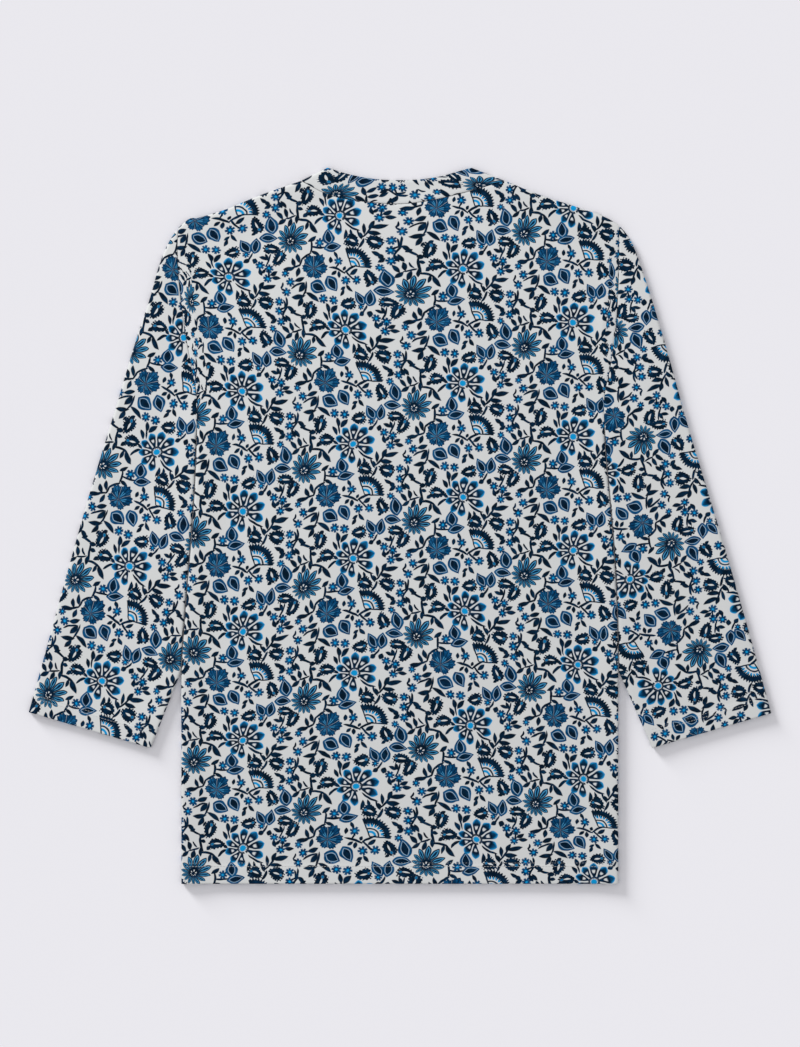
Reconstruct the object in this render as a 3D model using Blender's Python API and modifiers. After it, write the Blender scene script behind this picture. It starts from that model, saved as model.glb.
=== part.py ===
"""A mandarin collar top with set-in three-quarter sleeves, laid flat with its back upward.

X runs across the garment, Y up its length to the collar, Z up from the surface it lies on. The
origin is at the middle of its footprint, on that surface. Each cloth piece is an open surface, the
side of the cloth that faces out, with a wall turned inwards from it. Upper and lower layers lie on
each other, and they part a little where the cloth turns over at the side seams, the shoulders, the
sleeves' folds and the ends of the collar's flattened ring.
"""
import bpy
import numpy as np

NAME = "mandarin_collar_top"
MM = 0.001

# Cloth, in millimetres
WALL = 1.2  # one layer of jersey with its loft
HEM_WALL = 1.8  # the jersey turned up on itself
COLLAR_WALL = 1.4  # the band, jersey inside and out
LAYER_GAP = 0.7  # air between two layers that lie on each other
SEAM_GAP = 0.3  # between two pieces that are sewn together
SIDE_GAP = 0.9  # between a sleeve's inner fold and the side seam beside it
SEAM_HALF_GAP = 0.27  # from the side seam's middle height to each panel's edge
CORNER_GAP = 1.3  # more between collar and panels just at the neck's two corners
CORNER_REACH = 5.0

# Heights of the folded edges, in millimetres
BODY_CREST = 5.6  # a little above the sleeves, so that the side seam stands over them
SLEEVE_CREST = 4.8
COLLAR_CREST = 4.8
ROLL = 2.6  # how far in from an edge the cloth has turned over
CREST_SPREAD = 20.0  # how far in from there the layers close up again
LEAD = 0.5  # the upright start of the turn, above the side seam
LEAD_IN = 0.04  # how far in it leans
SEAM_LEVEL = BODY_CREST / 2

# Lengths along the garment, in millimetres
HEM_LEVEL = -350.0
HEM_DEPTH = 17.0
CUFF_DEPTH = 16.0
HEM_EASE = 3.0  # over which the turned-up hem thins out to one layer
UNDERARM = 93.7
SLEEVE_LEAVES = -143.0  # below this level the sleeves stand away from the sides
SLIT_DEPTH = 110.0
UNDERARM_GAP = 8.0  # from the underarm down to where the sleeve's inner fold lies beside the side seam

# The body's two edges, from the hem up the side seams and the armholes to the shoulder tips.
BODY_EDGES = np.array(
    [  # y, left x, right x
        (-350.0, -213.4, 213.6),
        (-220.0, -213.4, 213.6),
        (-143.0, -213.2, 213.5),
        (-84.4, -209.5, 212.3),
        (-2.2, -202.8, 207.6),
        (54.5, -199.4, 202.4),
        (93.7, -198.2, 199.8),
        (130.9, -198.8, 200.6),
        (149.6, -202.6, 204.6),
        (187.0, -209.2, 210.2),
        (230.6, -215.0, 213.4),
        (265.2, -217.3, 214.2),
        (291.3, -216.4, 214.0),
    ]
)
# The shoulder seams, from the armhole to the neck.
LEFT_SHOULDER = np.array(
    [(-216.4, 291.3), (-209.0, 297.4), (-196.8, 301.0), (-172.3, 308.5), (-137.7, 322.6), (-97.0, 337.0)]
)
RIGHT_SHOULDER = np.array(
    [(214.0, 294.2), (207.0, 298.4), (175.0, 310.9), (136.2, 323.6), (103.5, 336.9)]
)
# The necklines, from the left shoulder seam to the right one.
BACK_NECK = np.array(
    [
        (-97.0, 337.0),
        (-72.0, 324.4),
        (-27.0, 316.0),
        (0.0, 314.6),
        (33.0, 318.6),
        (68.5, 327.2),
        (103.5, 336.9),
    ]
)
FRONT_NECK = np.array(
    [
        (-97.0, 337.0),
        (-86.0, 310.0),
        (-54.0, 275.0),
        (0.5, 259.0),
        (58.0, 275.0),
        (92.0, 310.0),
        (103.5, 336.9),
    ]
)
# The collar's free edge, from the left end of the flattened ring to the right one, behind and before.
BACK_BAND = np.array(
    [
        (-70.7, 350.0),
        (-52.8, 344.4),
        (-27.3, 339.4),
        (2.0, 337.9),
        (40.1, 341.6),
        (58.0, 346.6),
        (70.1, 350.0),
    ]
)
FRONT_BAND = np.array(
    [
        (-70.7, 350.0),
        (-62.0, 327.0),
        (-38.0, 298.0),
        (0.5, 283.5),
        (40.0, 298.0),
        (64.0, 327.0),
        (70.1, 350.0),
    ]
)
# The sleeves' outer folds, from the shoulder tip to the cuff, and the cuffs' inner corners.
LEFT_OUTER = np.array(
    [
        (-216.4, 291.3),
        (-224.8, 279.0),
        (-231.8, 264.0),
        (-244.2, 222.8),
        (-258.0, 181.0),
        (-280.5, 105.9),
        (-291.3, 71.2),
        (-362.7, -182.2),
    ]
)
RIGHT_OUTER = np.array(
    [
        (214.0, 294.2),
        (224.3, 281.5),
        (231.4, 266.0),
        (239.8, 242.0),
        (256.2, 189.0),
        (281.0, 100.5),
        (314.0, -8.8),
        (343.9, -112.8),
        (363.2, -183.2),
    ]
)
LEFT_CUFF_CORNER = (-243.4, -217.4)
RIGHT_CUFF_CORNER = (246.8, -217.2)

# The largest soft folds of the upper layer: where each starts and ends, how wide and how high it is.
BACK_FOLDS = np.array(
    [  # x, y, end x, end y, width, height
        (-206.0, 262.0, -197.5, 178.0, 5.0, 1.3),
        (206.0, 268.0, 197.0, 172.0, 5.0, 1.3),
        (-150.0, 235.0, -120.0, 60.0, 26.0, 0.9),
        (152.0, 240.0, 118.0, 20.0, 28.0, 0.8),
        (-60.0, 150.0, -85.0, -150.0, 30.0, 0.7),
        (48.0, 60.0, 70.0, -190.0, 26.0, 0.8),
        (-160.0, -120.0, -150.0, -335.0, 22.0, 0.8),
        (140.0, -150.0, 156.0, -340.0, 24.0, 0.7),
    ]
)
LEFT_SLEEVE_FOLDS = np.array(
    [
        (-226.0, 215.0, -262.0, 40.0, 14.0, 0.9),
        (-222.0, 40.0, -268.0, -110.0, 16.0, 0.8),
        (-300.0, -40.0, -322.0, -150.0, 14.0, 0.7),
    ]
)
RIGHT_SLEEVE_FOLDS = np.array(
    [
        (226.0, 205.0, 250.0, 60.0, 14.0, 0.9),
        (232.0, 10.0, 286.0, -120.0, 16.0, 0.8),
        (300.0, 20.0, 330.0, -120.0, 14.0, 0.7),
    ]
)
# Where the back lies in the neck opening, with no front under it, it sinks.
NECK_SAG = 1.6
NECK_SAG_CENTRE = (1.0, 327.0)
NECK_SAG_REACH = (36.0, 16.0)

# How the surfaces are divided
TURN_STEPS = (0.35, 1.2, ROLL, 9.0)  # from a folded edge inwards, in millimetres
SIDE_ROWS = 8
ARMHOLE_ROWS = 9
SHOULDER_COLUMNS = 2
NECK_COLUMNS = 7
SLEEVE_COLUMNS = 4
TIP_ROWS = 4  # rows of the armhole, from the shoulder tip, above the sleeve's first
BESIDE_ROWS = 7
FREE_ROWS = 4
COLLAR_ROWS = 3
NARROW, WIDE = 20.0, 50.0  # widths of sleeve between which its columns move from even to edge-set
FINE = 400  # points in a curve that distances are measured from
SHARP_ANGLE = 50.0

BLUE_PRINT = (0.24, 0.31, 0.37, 1.0)
ROUGHNESS = 0.85


def clear_scene():
    for old in list(bpy.data.objects):
        bpy.data.objects.remove(old)


def smooth(x, rows):
    """The cubic through rows of (x, y), whose slope at a row is the mean of the chords beside it."""
    xs, ys = rows[:, 0], rows[:, 1]
    if xs[0] > xs[-1]:
        xs, ys = xs[::-1], ys[::-1]
    slopes = np.gradient(ys, xs)
    k = np.clip(np.searchsorted(xs, x) - 1, 0, len(xs) - 2)
    span = xs[k + 1] - xs[k]
    t = np.clip((x - xs[k]) / span, 0, 1)
    start = (1 + 2 * t) * (1 - t) ** 2 * ys[k] + t * (1 - t) ** 2 * span * slopes[k]
    end = t**2 * (3 - 2 * t) * ys[k + 1] - t**2 * (1 - t) * span * slopes[k + 1]
    return start + end


def along(line, fractions):
    """Points at these fractions of a line's length, through its rows as a smooth curve."""
    steps = np.linalg.norm(np.diff(line, axis=0), axis=1)
    run = np.concatenate([[0], np.cumsum(steps)])
    at = np.asarray(fractions) * run[-1]
    return np.stack([smooth(at, np.column_stack([run, line[:, i]])) for i in (0, 1)], axis=-1)


def length_of(line):
    return np.linalg.norm(np.diff(along(line, np.linspace(0, 1, FINE)), axis=0), axis=1).sum()


def distance(points, line):
    """How far each of the points lies from a line of points, in the plane."""
    return np.linalg.norm(points[..., None, :2] - line[:, :2], axis=-1).min(-1)


def eased(t):
    """0 to 1 with a level start and end."""
    t = np.clip(t, 0, 1)
    return t * t * (3 - 2 * t)


def turned(depth):
    """The quarter circle by which a folded edge rises: 0 at the edge, 1 from ROLL inwards."""
    q = np.clip(depth / ROLL, 0, 1)
    return np.sqrt(1 - (1 - q) ** 2)


def folds(points, table):
    """The soft folds of a table: each a ridge that fades out across its width and at both ends."""
    height = np.zeros(points.shape[:-1])
    for x, y, end_x, end_y, width, rise in table:
        start, run = np.array((x, y)), np.array((end_x - x, end_y - y))
        t = np.clip(((points - start) @ run) / (run @ run), 0, 1)
        off = np.linalg.norm(points - start - t[..., None] * run, axis=-1)
        height += rise * np.exp(-((off / width) ** 2)) * (0.35 + 0.65 * np.sin(np.pi * t))
    return height


def neck_sag(points):
    """How far the back and the collar sink inside the neck: a soft oval dip."""
    off = (points - NECK_SAG_CENTRE) / NECK_SAG_REACH
    return NECK_SAG * np.exp(-(off**2).sum(-1))


def upper_height(depth, edge, crest, base):
    """Outer side of an upper layer: up from its edge, round to the crest, and down to its base."""
    level = base + (crest - base) * np.exp(-((np.maximum(depth - ROLL, 0) / CREST_SPREAD) ** 2))
    return edge + (level - edge) * turned(depth)


def lower_height(depth, edge):
    """Outer side of a lower layer: down from its edge and flat on the surface below."""
    return edge * (1 - turned(depth))


def body_edge(levels, side):
    """Points of the body's left or right edge at these levels."""
    column = 1 if side < 0 else 2
    return np.column_stack([smooth(levels, BODY_EDGES[:, [0, column]]), levels])


def armhole_levels(side):
    """The levels at which body and sleeve are divided alike along the armhole, from the underarm up."""
    tip = (LEFT_SHOULDER if side < 0 else RIGHT_SHOULDER)[0, 1]
    low = UNDERARM + ROLL * np.array((0, 1, 3))
    rows = np.linspace(low[-1], tip - TURN_STEPS[-1], ARMHOLE_ROWS)[1:]
    return np.concatenate([low, rows, tip - np.array((*TURN_STEPS[-2::-1], LEAD_IN, 0.0))])


def side_levels():
    """The levels of the body's rows from the hem to just below the underarm."""
    hem = HEM_LEVEL + np.array((0.0, HEM_DEPTH, HEM_DEPTH + HEM_EASE))
    rows = np.linspace(hem[-1], UNDERARM - ROLL, SIDE_ROWS + 1)[1:]
    return np.concatenate([hem, rows])


def neck_shares(neck):
    """Shares of a neckline's length at which panel and collar are divided alike."""
    end = TURN_STEPS[-1] / length_of(neck)
    return np.concatenate([[0, end], np.linspace(end, 1 - end, NECK_COLUMNS + 2)[1:-1], [1 - end, 1]])


def panel_columns(neck, slit, width, left_x):
    """Each column's share of the panel's width, its shift from there, and its level at the top edge."""
    neck_line = along(neck, neck_shares(neck))
    shift = np.zeros(len(neck_line))
    if slit:
        middle = len(neck_line) // 2
        neck_line = np.insert(neck_line, middle, neck_line[middle], axis=0)
        shift = np.insert(shift, middle, 0)
        shift[middle : middle + 2] = (-SEAM_GAP, SEAM_GAP)
    neck_at = (neck_line[:, 0] - left_x) / width
    edge_shift = np.array((0.0, LEAD_IN, *TURN_STEPS))
    edge_share, no_shift = np.zeros(len(edge_shift)), np.zeros(SHOULDER_COLUMNS)
    to_neck = np.linspace(0, neck_at[0], SHOULDER_COLUMNS + 2)[1:-1]
    from_neck = np.linspace(neck_at[-1], 1, SHOULDER_COLUMNS + 2)[1:-1]
    share = np.concatenate([edge_share, to_neck, neck_at, from_neck, edge_share + 1])
    shift = np.concatenate([edge_shift, no_shift, shift, no_shift, -edge_shift[::-1]])
    x = left_x + share * width + shift
    before = len(edge_shift) + SHOULDER_COLUMNS
    left_top, right_top = smooth(x[:before], LEFT_SHOULDER), smooth(x[-before:], RIGHT_SHOULDER)
    return share, shift, np.concatenate([left_top, neck_line[:, 1], right_top])


def panel_plan(neck, slit):
    """Places of a body panel's points in the plane, in rows from the hem to the shoulders.

    Each row runs from the left edge to the right one. Above the underarm the rows bend, little by
    little, until the last one follows the shoulder seams and the neckline.
    """
    levels = [np.concatenate([side_levels(), armhole_levels(side)]) for side in (-1, 1)]
    left, right = (body_edge(level, side) for level, side in zip(levels, (-1, 1)))
    share, shift, top = panel_columns(neck, slit, right[-1, 0] - left[-1, 0], left[-1, 0])
    x = left[:, :1] + share * (right[:, :1] - left[:, :1]) + shift
    edge = left[:, 1:] + share * (right[:, 1:] - left[:, 1:])
    under_tip = edge[-1] - edge
    bend = np.clip((edge - UNDERARM) / (edge[-1] - TURN_STEPS[-1] - UNDERARM), 0, 1)
    near_top = under_tip <= TURN_STEPS[-1] + LEAD_IN
    y = np.where(near_top, top - under_tip, edge + (top - edge[-1]) * bend)
    return np.stack([x, y], axis=-1)


def folded_edges():
    """Where front and back turn over into each other: both side seams and both shoulder seams."""
    sides = [body_edge(np.linspace(HEM_LEVEL - ROLL, UNDERARM, FINE), side) for side in (-1, 1)]
    shoulders = [along(line, np.linspace(0, 1, FINE)) for line in (LEFT_SHOULDER, RIGHT_SHOULDER)]
    return np.concatenate(sides + shoulders)


def wall_of(depth_from_hem, hem_depth):
    """The cloth's wall, doubled over in the hem, at this distance from the hem's edge."""
    return WALL + (HEM_WALL - WALL) * (1 - eased((depth_from_hem - hem_depth) / HEM_EASE))


def grid_faces(rows, columns, holes=()):
    """Quads of a grid, but for the cells (row, column) in holes."""
    return [
        (a, a + 1, a + columns + 1, a + columns)
        for row in range(rows - 1)
        for column in range(columns - 1)
        if (row, column) not in holes
        for a in (row * columns + column,)
    ]


def turned_round(faces):
    return [face[::-1] for face in faces]


def cloth(name, points, faces, walls, collection):
    """An object whose open surface faces out, with Solidify's wall turned inwards from it."""
    mesh = bpy.data.meshes.new(name)
    mesh.from_pydata((points.reshape(-1, 3) * MM).tolist(), [], faces)
    mesh.shade_smooth()
    mesh.set_sharp_from_angle(angle=np.radians(SHARP_ANGLE))
    piece = bpy.data.objects.new(name, mesh)
    collection.objects.link(piece)
    group = piece.vertex_groups.new(name="wall")
    thickest = float(walls.max())
    for index, share in enumerate(walls.reshape(-1) / thickest):
        group.add([index], float(share), "REPLACE")
    wall = piece.modifiers.new("wall", "SOLIDIFY")
    wall.thickness = thickest * MM
    wall.offset = -1
    wall.vertex_group = group.name
    mesh.materials.append(fabric(name))
    return piece


def fabric(name):
    material = bpy.data.materials.new(name + "_jersey")
    material.use_nodes = True
    shader = material.node_tree.nodes["Principled BSDF"]
    shader.inputs["Base Color"].default_value = BLUE_PRINT
    shader.inputs["Roughness"].default_value = ROUGHNESS
    shader.inputs["Metallic"].default_value = 0.0
    return material


def lead_in(z, plan, neck, seam, rise):
    """The second line of points beside a side or shoulder seam stands upright on the first."""
    z = z.copy()
    shoulder = (plan[-1, :, 0] <= neck[0, 0]) | (plan[-1, :, 0] >= neck[-1, 0])
    z[-1, shoulder] = seam
    z[-2, shoulder] = seam + rise
    side = plan[:, 0, 1] < UNDERARM - LEAD
    z[side, 0] = z[side, -1] = seam
    z[side, 1] = z[side, -2] = seam + rise
    return z


def make_back(collection):
    """The back panel, on top: its edges turn down to the side and shoulder seams."""
    plan = panel_plan(BACK_NECK, slit=False)
    wall = wall_of(plan[..., 1] - HEM_LEVEL, HEM_DEPTH)
    depth = distance(plan, folded_edges())
    seam = SEAM_LEVEL + SEAM_HALF_GAP
    z = upper_height(depth, seam, BODY_CREST, 2 * wall + LAYER_GAP)
    z += (folds(plan, BACK_FOLDS) - neck_sag(plan)) * turned(depth)
    z = lead_in(z, plan, BACK_NECK, seam, LEAD)
    points = np.concatenate([plan, z[..., None]], axis=-1)
    return cloth("back", points, grid_faces(*z.shape), wall, collection)


def make_front(collection):
    """The front panel, underneath: flat on the surface, its edges turned up to the seams."""
    plan = panel_plan(FRONT_NECK, slit=True)
    wall = wall_of(plan[..., 1] - HEM_LEVEL, HEM_DEPTH)
    seam = SEAM_LEVEL - SEAM_HALF_GAP
    z = lower_height(distance(plan, folded_edges()), seam)
    z = lead_in(z, plan, FRONT_NECK, seam, -LEAD)
    rows, columns = z.shape
    middle = columns // 2 - 1
    slit_from = FRONT_NECK[len(FRONT_NECK) // 2, 1] - SLIT_DEPTH
    slit = {(row, middle) for row in range(rows - 1) if plan[row, middle, 1] > slit_from}
    points = np.concatenate([plan, z[..., None]], axis=-1)
    return cloth("front", points, turned_round(grid_faces(rows, columns, slit)), wall, collection)


def sleeve_lines(side):
    """The sleeve's inner and outer boundary points, row by row from the shoulder tip to the cuff.

    The inner one runs down the armhole, then beside the side seam, then free to the cuff's corner.
    """
    outer_line, corner = (LEFT_OUTER, LEFT_CUFF_CORNER) if side < 0 else (RIGHT_OUTER, RIGHT_CUFF_CORNER)
    armhole = body_edge(armhole_levels(side)[-1 - TIP_ROWS :: -1], side) + (side * SEAM_GAP, 0)
    levels = np.linspace(UNDERARM - UNDERARM_GAP, SLEEVE_LEAVES, BESIDE_ROWS)
    beside = body_edge(levels, side) + (side * SIDE_GAP, 0)
    to_corner = beside[-1] - corner
    length = np.linalg.norm(to_corner)
    hem = np.array((CUFF_DEPTH + HEM_EASE, CUFF_DEPTH, 0.0))
    from_corner = np.concatenate([np.linspace(length, hem[0], FREE_ROWS + 1)[1:-1], hem])
    free = corner + from_corner[:, None] * to_corner / length
    inner = np.concatenate([armhole, beside, free])

    run = np.concatenate([[0], np.cumsum(np.linalg.norm(np.diff(inner, axis=0), axis=1))])
    start = armhole_levels(side)[-1] - armhole[0, 1]
    outer = along(outer_line, (run + start) / (run[-1] + start))
    up_arm = np.array((side * (corner[1] - outer[-1, 1]), side * (outer[-1, 0] - corner[0])))
    outer[-3:] = outer[-1] + hem[:, None] * up_arm / np.linalg.norm(up_arm)
    return inner, outer, len(armhole)


def sleeve_columns(width):
    """Each column's share of the way across, row by row: close together at both folds of a wide row."""
    steps = np.array((0.0, *TURN_STEPS))
    between = steps[-1] + np.linspace(0, 1, SLEEVE_COLUMNS + 2)[1:-1] * (width - 2 * steps[-1])
    near_inner = np.broadcast_to(steps, (len(width), len(steps)))
    from_folds = np.concatenate([near_inner, between, width - steps[::-1]], axis=1)
    even = np.linspace(0, 1, from_folds.shape[1]) * width
    return (even + (from_folds - even) * eased((width - NARROW) / (WIDE - NARROW))) / width


def make_sleeve(side, collection):
    """A set-in sleeve, pressed flat: a tube that is open along the armhole and at the cuff."""
    inner, outer, open_rows = sleeve_lines(side)
    width = np.linalg.norm(outer - inner, axis=1)[:, None]
    plan = inner[:, None] + sleeve_columns(width)[..., None] * (outer - inner)[:, None]
    rows, columns = plan.shape[:2]

    inner_fold = inner[open_rows - 1 :]
    fine = np.linspace(0, 1, 4 * FINE)
    depth = distance(plan, np.concatenate([along(outer, fine), along(inner_fold, fine)]))
    depth[:, -1] = 0
    depth[open_rows - 1 :, 0] = 0
    cuff = (outer[-1] - inner[-1]) / width[-1]
    above_cuff = np.abs(cuff[0] * (plan - inner[-1])[..., 1] - cuff[1] * (plan - inner[-1])[..., 0])
    wall = wall_of(above_cuff, CUFF_DEPTH)
    seam = SLEEVE_CREST / 2
    upper = upper_height(depth, seam, SLEEVE_CREST, 2 * wall + LAYER_GAP)
    upper += folds(plan, LEFT_SLEEVE_FOLDS if side < 0 else RIGHT_SLEEVE_FOLDS) * turned(depth)
    upper = np.concatenate([plan, upper[..., None]], axis=-1)
    lower = np.concatenate([plan, lower_height(depth, seam)[..., None]], axis=-1)

    # Once round the ring: across the upper layer from the inner fold, and back across the lower one.
    points = np.concatenate([upper, lower[:, -2::-1]], axis=1)
    walls = np.concatenate([wall, wall[:, -2::-1]], axis=1).reshape(-1)
    ring = 2 * columns - 1
    number = np.arange(rows * ring).reshape(rows, ring)
    number[open_rows - 1 :, -1] = number[open_rows - 1 :, 0]
    kept, number = np.unique(number, return_inverse=True)
    number = number.reshape(-1)
    faces = [tuple(int(number[index]) for index in face) for face in grid_faces(rows, ring)]
    if side > 0:
        faces = turned_round(faces)
    name = "sleeve_left" if side < 0 else "sleeve_right"
    return cloth(name, points.reshape(-1, 3)[kept], faces, walls[kept], collection)


def collar_half(seam_line, free_line):
    """Plan of one half of the collar's ring between its two folds: its columns cross the band."""
    length = length_of(seam_line)
    near = np.array(TURN_STEPS[:-1]) / length
    share = np.sort(np.concatenate([neck_shares(seam_line), near, 1 - near]))
    seam, free = along(seam_line, share), along(free_line, share)
    from_corner = np.minimum(share, 1 - share) * length
    gap = SEAM_GAP + CORNER_GAP * np.exp(-((from_corner / CORNER_REACH) ** 2))
    across = free - seam
    seam += across * (gap / np.linalg.norm(across, axis=1))[:, None]
    return seam + np.linspace(0, 1, COLLAR_ROWS + 1)[:, None, None] * (free - seam)


def make_collar(collection):
    """The mandarin band: one strip, pressed flat as a ring, whose ends meet at the centre front."""
    back = collar_half(BACK_NECK, BACK_BAND)
    front = collar_half(FRONT_NECK, FRONT_BAND)
    middle = front.shape[1] // 2
    left_end = front[:, middle : middle + 1] - (SEAM_GAP, 0)
    right_end = front[:, middle : middle + 1] + (SEAM_GAP, 0)
    to_left_fold, to_right_end = front[:, middle - 1 : 0 : -1], front[:, -2:middle:-1]
    plan = np.concatenate([left_end, to_left_fold, back, to_right_end, right_end], axis=1)
    folds_at = [middle, middle + back.shape[1] - 1]

    fold_lines = [np.linspace(plan[0, k], plan[-1, k], FINE) for k in folds_at]
    depth = distance(plan, np.concatenate(fold_lines))
    depth[:, folds_at] = 0
    seam = COLLAR_CREST / 2
    upper = upper_height(depth, seam, COLLAR_CREST, 2 * COLLAR_WALL + LAYER_GAP)
    upper -= neck_sag(plan) * turned(depth)
    column = np.arange(plan.shape[1])
    z = np.where((column >= folds_at[0]) & (column <= folds_at[1]), upper, lower_height(depth, seam))
    points = np.concatenate([plan, z[..., None]], axis=-1)
    return cloth("collar", points, grid_faces(*z.shape), np.full(z.shape, COLLAR_WALL), collection)


def main():
    clear_scene()
    garment = bpy.data.collections.new(NAME)
    bpy.context.scene.collection.children.link(garment)
    make_front(garment)
    make_back(garment)
    make_sleeve(-1, garment)
    make_sleeve(1, garment)
    make_collar(garment)


main()
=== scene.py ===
"""The looks of a mandarin collar top with three-quarter sleeves, laid flat with its back upward.

Every piece of cloth is a thin shell on its solid's own form, worked out on a fine grid: the panels
and sleeves turn over at their folded edges, and soft ridges and troughs from the tables below lie
on them. The indigo print is drawn by formulas in one shader node group, which reads a UV map that
gives each spot's place in the print in metres. Sewing lies on the cloth as small meshes of thread.
Lengths are in millimetres until a mesh is made; x runs across the garment, y up to its collar.
"""

import bpy
import numpy as np
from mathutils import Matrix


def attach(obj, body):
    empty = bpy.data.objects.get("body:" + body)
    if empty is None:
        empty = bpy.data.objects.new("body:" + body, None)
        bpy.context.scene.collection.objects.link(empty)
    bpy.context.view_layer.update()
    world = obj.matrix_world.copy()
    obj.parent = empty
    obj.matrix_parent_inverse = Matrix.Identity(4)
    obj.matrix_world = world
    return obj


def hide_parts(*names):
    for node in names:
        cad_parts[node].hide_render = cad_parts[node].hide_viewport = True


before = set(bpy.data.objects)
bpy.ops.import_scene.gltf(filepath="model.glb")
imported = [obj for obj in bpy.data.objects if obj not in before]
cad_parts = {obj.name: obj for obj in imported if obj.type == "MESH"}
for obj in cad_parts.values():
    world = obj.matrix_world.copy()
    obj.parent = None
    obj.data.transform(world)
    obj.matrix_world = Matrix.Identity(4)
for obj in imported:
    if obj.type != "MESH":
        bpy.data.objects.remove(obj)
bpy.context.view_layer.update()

MM = 0.001
SIDES = (-1, 1)  # the garment's left side as it shows, and its right one

# Cloth: its walls, and the gaps between layers and at seams
WALL = 1.2
HEM_WALL = 1.8
HEM_EASE = 3.0  # over which a turned-up hem thins out to one layer
COLLAR_WALL = 1.4
LAYER_GAP = 0.7
SEAM_GAP = 0.3
SIDE_GAP = 0.9  # between a sleeve's inner fold and the side seam beside it
SEAM_HALF_GAP = 0.27  # from the side seam's middle height to each panel's edge
CORNER_GAP = 1.3  # more between collar and panels at the neck's two corners
CORNER_REACH = 5.0

# Heights of the folded edges, and how the cloth turns over there
BODY_CREST = 5.6
SLEEVE_CREST = 4.8
COLLAR_CREST = 4.8
SEAM_LEVEL = BODY_CREST / 2
ROLL = 2.6
CREST_SPREAD = 20.0
HEM_ROLL = 0.9

# Lengths along the garment
HEM_LEVEL = -350.0
HEM_DEPTH = 17.0
CUFF_DEPTH = 16.0
UNDERARM = 93.7
UNDERARM_GAP = 8.0
TIP_GAP = 3.0  # from the shoulder tip down to a sleeve's first row
SLEEVE_LEAVES = -143.0  # below this level the sleeves stand away from the sides
SLIT_DEPTH = 110.0
COLLAR_HEIGHT = 23.0

# The body's two edges, from the hem up the side seams and the armholes to the shoulder tips.
BODY_EDGES = np.array([  # y, left x, right x
    (-350.0, -213.4, 213.6), (-220.0, -213.4, 213.6), (-143.0, -213.2, 213.5),
    (-84.4, -209.5, 212.3), (-2.2, -202.8, 207.6), (54.5, -199.4, 202.4), (93.7, -198.2, 199.8),
    (130.9, -198.8, 200.6), (149.6, -202.6, 204.6), (187.0, -209.2, 210.2), (230.6, -215.0, 213.4),
    (265.2, -217.3, 214.2), (291.3, -216.4, 214.0),
])
# Shoulder seams from the armhole to the neck, and necklines from the left seam to the right one.
SHOULDERS = {
    -1: np.array([
        (-216.4, 291.3), (-209.0, 297.4), (-196.8, 301.0), (-172.3, 308.5), (-137.7, 322.6),
        (-97.0, 337.0),
    ]),
    1: np.array([
        (214.0, 294.2), (207.0, 298.4), (175.0, 310.9), (136.2, 323.6), (103.5, 336.9),
    ]),
}
BACK_NECK = np.array([
    (-97.0, 337.0), (-72.0, 324.4), (-27.0, 316.0), (0.0, 314.6), (33.0, 318.6), (68.5, 327.2),
    (103.5, 336.9),
])
FRONT_NECK = np.array([
    (-97.0, 337.0), (-86.0, 310.0), (-54.0, 275.0), (0.5, 259.0), (58.0, 275.0), (92.0, 310.0),
    (103.5, 336.9),
])
BACK_BAND = np.array([
    (-70.7, 350.0), (-52.8, 344.4), (-27.3, 339.4), (2.0, 337.9), (40.1, 341.6), (58.0, 346.6),
    (70.1, 350.0),
])
FRONT_BAND = np.array([
    (-70.7, 350.0), (-62.0, 327.0), (-38.0, 298.0), (0.5, 283.5), (40.0, 298.0), (64.0, 327.0),
    (70.1, 350.0),
])
# The sleeves' outer folds, from the shoulder tip to the cuff, and the cuffs' inner corners.
OUTER_FOLDS = {
    -1: np.array([
        (-216.4, 291.3), (-224.8, 279.0), (-231.8, 264.0), (-244.2, 222.8), (-258.0, 181.0),
        (-280.5, 105.9), (-291.3, 71.2), (-362.7, -182.2),
    ]),
    1: np.array([
        (214.0, 294.2), (224.3, 281.5), (231.4, 266.0), (239.8, 242.0), (256.2, 189.0),
        (281.0, 100.5), (314.0, -8.8), (343.9, -112.8), (363.2, -183.2),
    ]),
}
CUFF_CORNERS = {-1: (-243.4, -217.4), 1: (246.8, -217.2)}

# Soft ridges, and troughs where the rise is below nothing: start, end, width and rise.
BACK_FOLDS = np.array([  # x, y, end x, end y, width, rise
    (-206.0, 262.0, -197.5, 178.0, 5.0, 1.3), (206.0, 268.0, 197.0, 172.0, 5.0, 1.3),
    (-150.0, 235.0, -120.0, 60.0, 26.0, 0.9), (152.0, 240.0, 118.0, 20.0, 28.0, 0.8),
    (-60.0, 150.0, -85.0, -150.0, 30.0, 0.7), (48.0, 60.0, 70.0, -190.0, 26.0, 0.8),
    (-160.0, -120.0, -150.0, -335.0, 22.0, 0.8), (140.0, -150.0, 156.0, -340.0, 24.0, 0.7),
])
FRONT_FOLDS = np.array([
    (150.0, 230.0, 124.0, 70.0, 24.0, 0.4), (-148.0, 236.0, -122.0, 30.0, 26.0, 0.45),
    (64.0, 130.0, 82.0, -140.0, 28.0, 0.35), (-52.0, 70.0, -66.0, -200.0, 24.0, 0.4),
    (152.0, -110.0, 148.0, -320.0, 20.0, 0.4), (-138.0, -160.0, -158.0, -330.0, 24.0, 0.35),
])
SLEEVE_FOLDS = {
    -1: np.array([
        (-226.0, 215.0, -262.0, 40.0, 14.0, 0.9), (-222.0, 40.0, -268.0, -110.0, 16.0, 0.8),
        (-300.0, -40.0, -322.0, -150.0, 14.0, 0.7),
    ]),
    1: np.array([
        (226.0, 205.0, 250.0, 60.0, 14.0, 0.9), (232.0, 10.0, 286.0, -120.0, 16.0, 0.8),
        (300.0, 20.0, 330.0, -120.0, 14.0, 0.7),
    ]),
}
UNDER_SHARE = 0.45  # how much of a sleeve's folds shows on its lower layer
NECK_SAG = 1.6
NECK_SAG_CENTRE = (1.0, 327.0)
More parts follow.
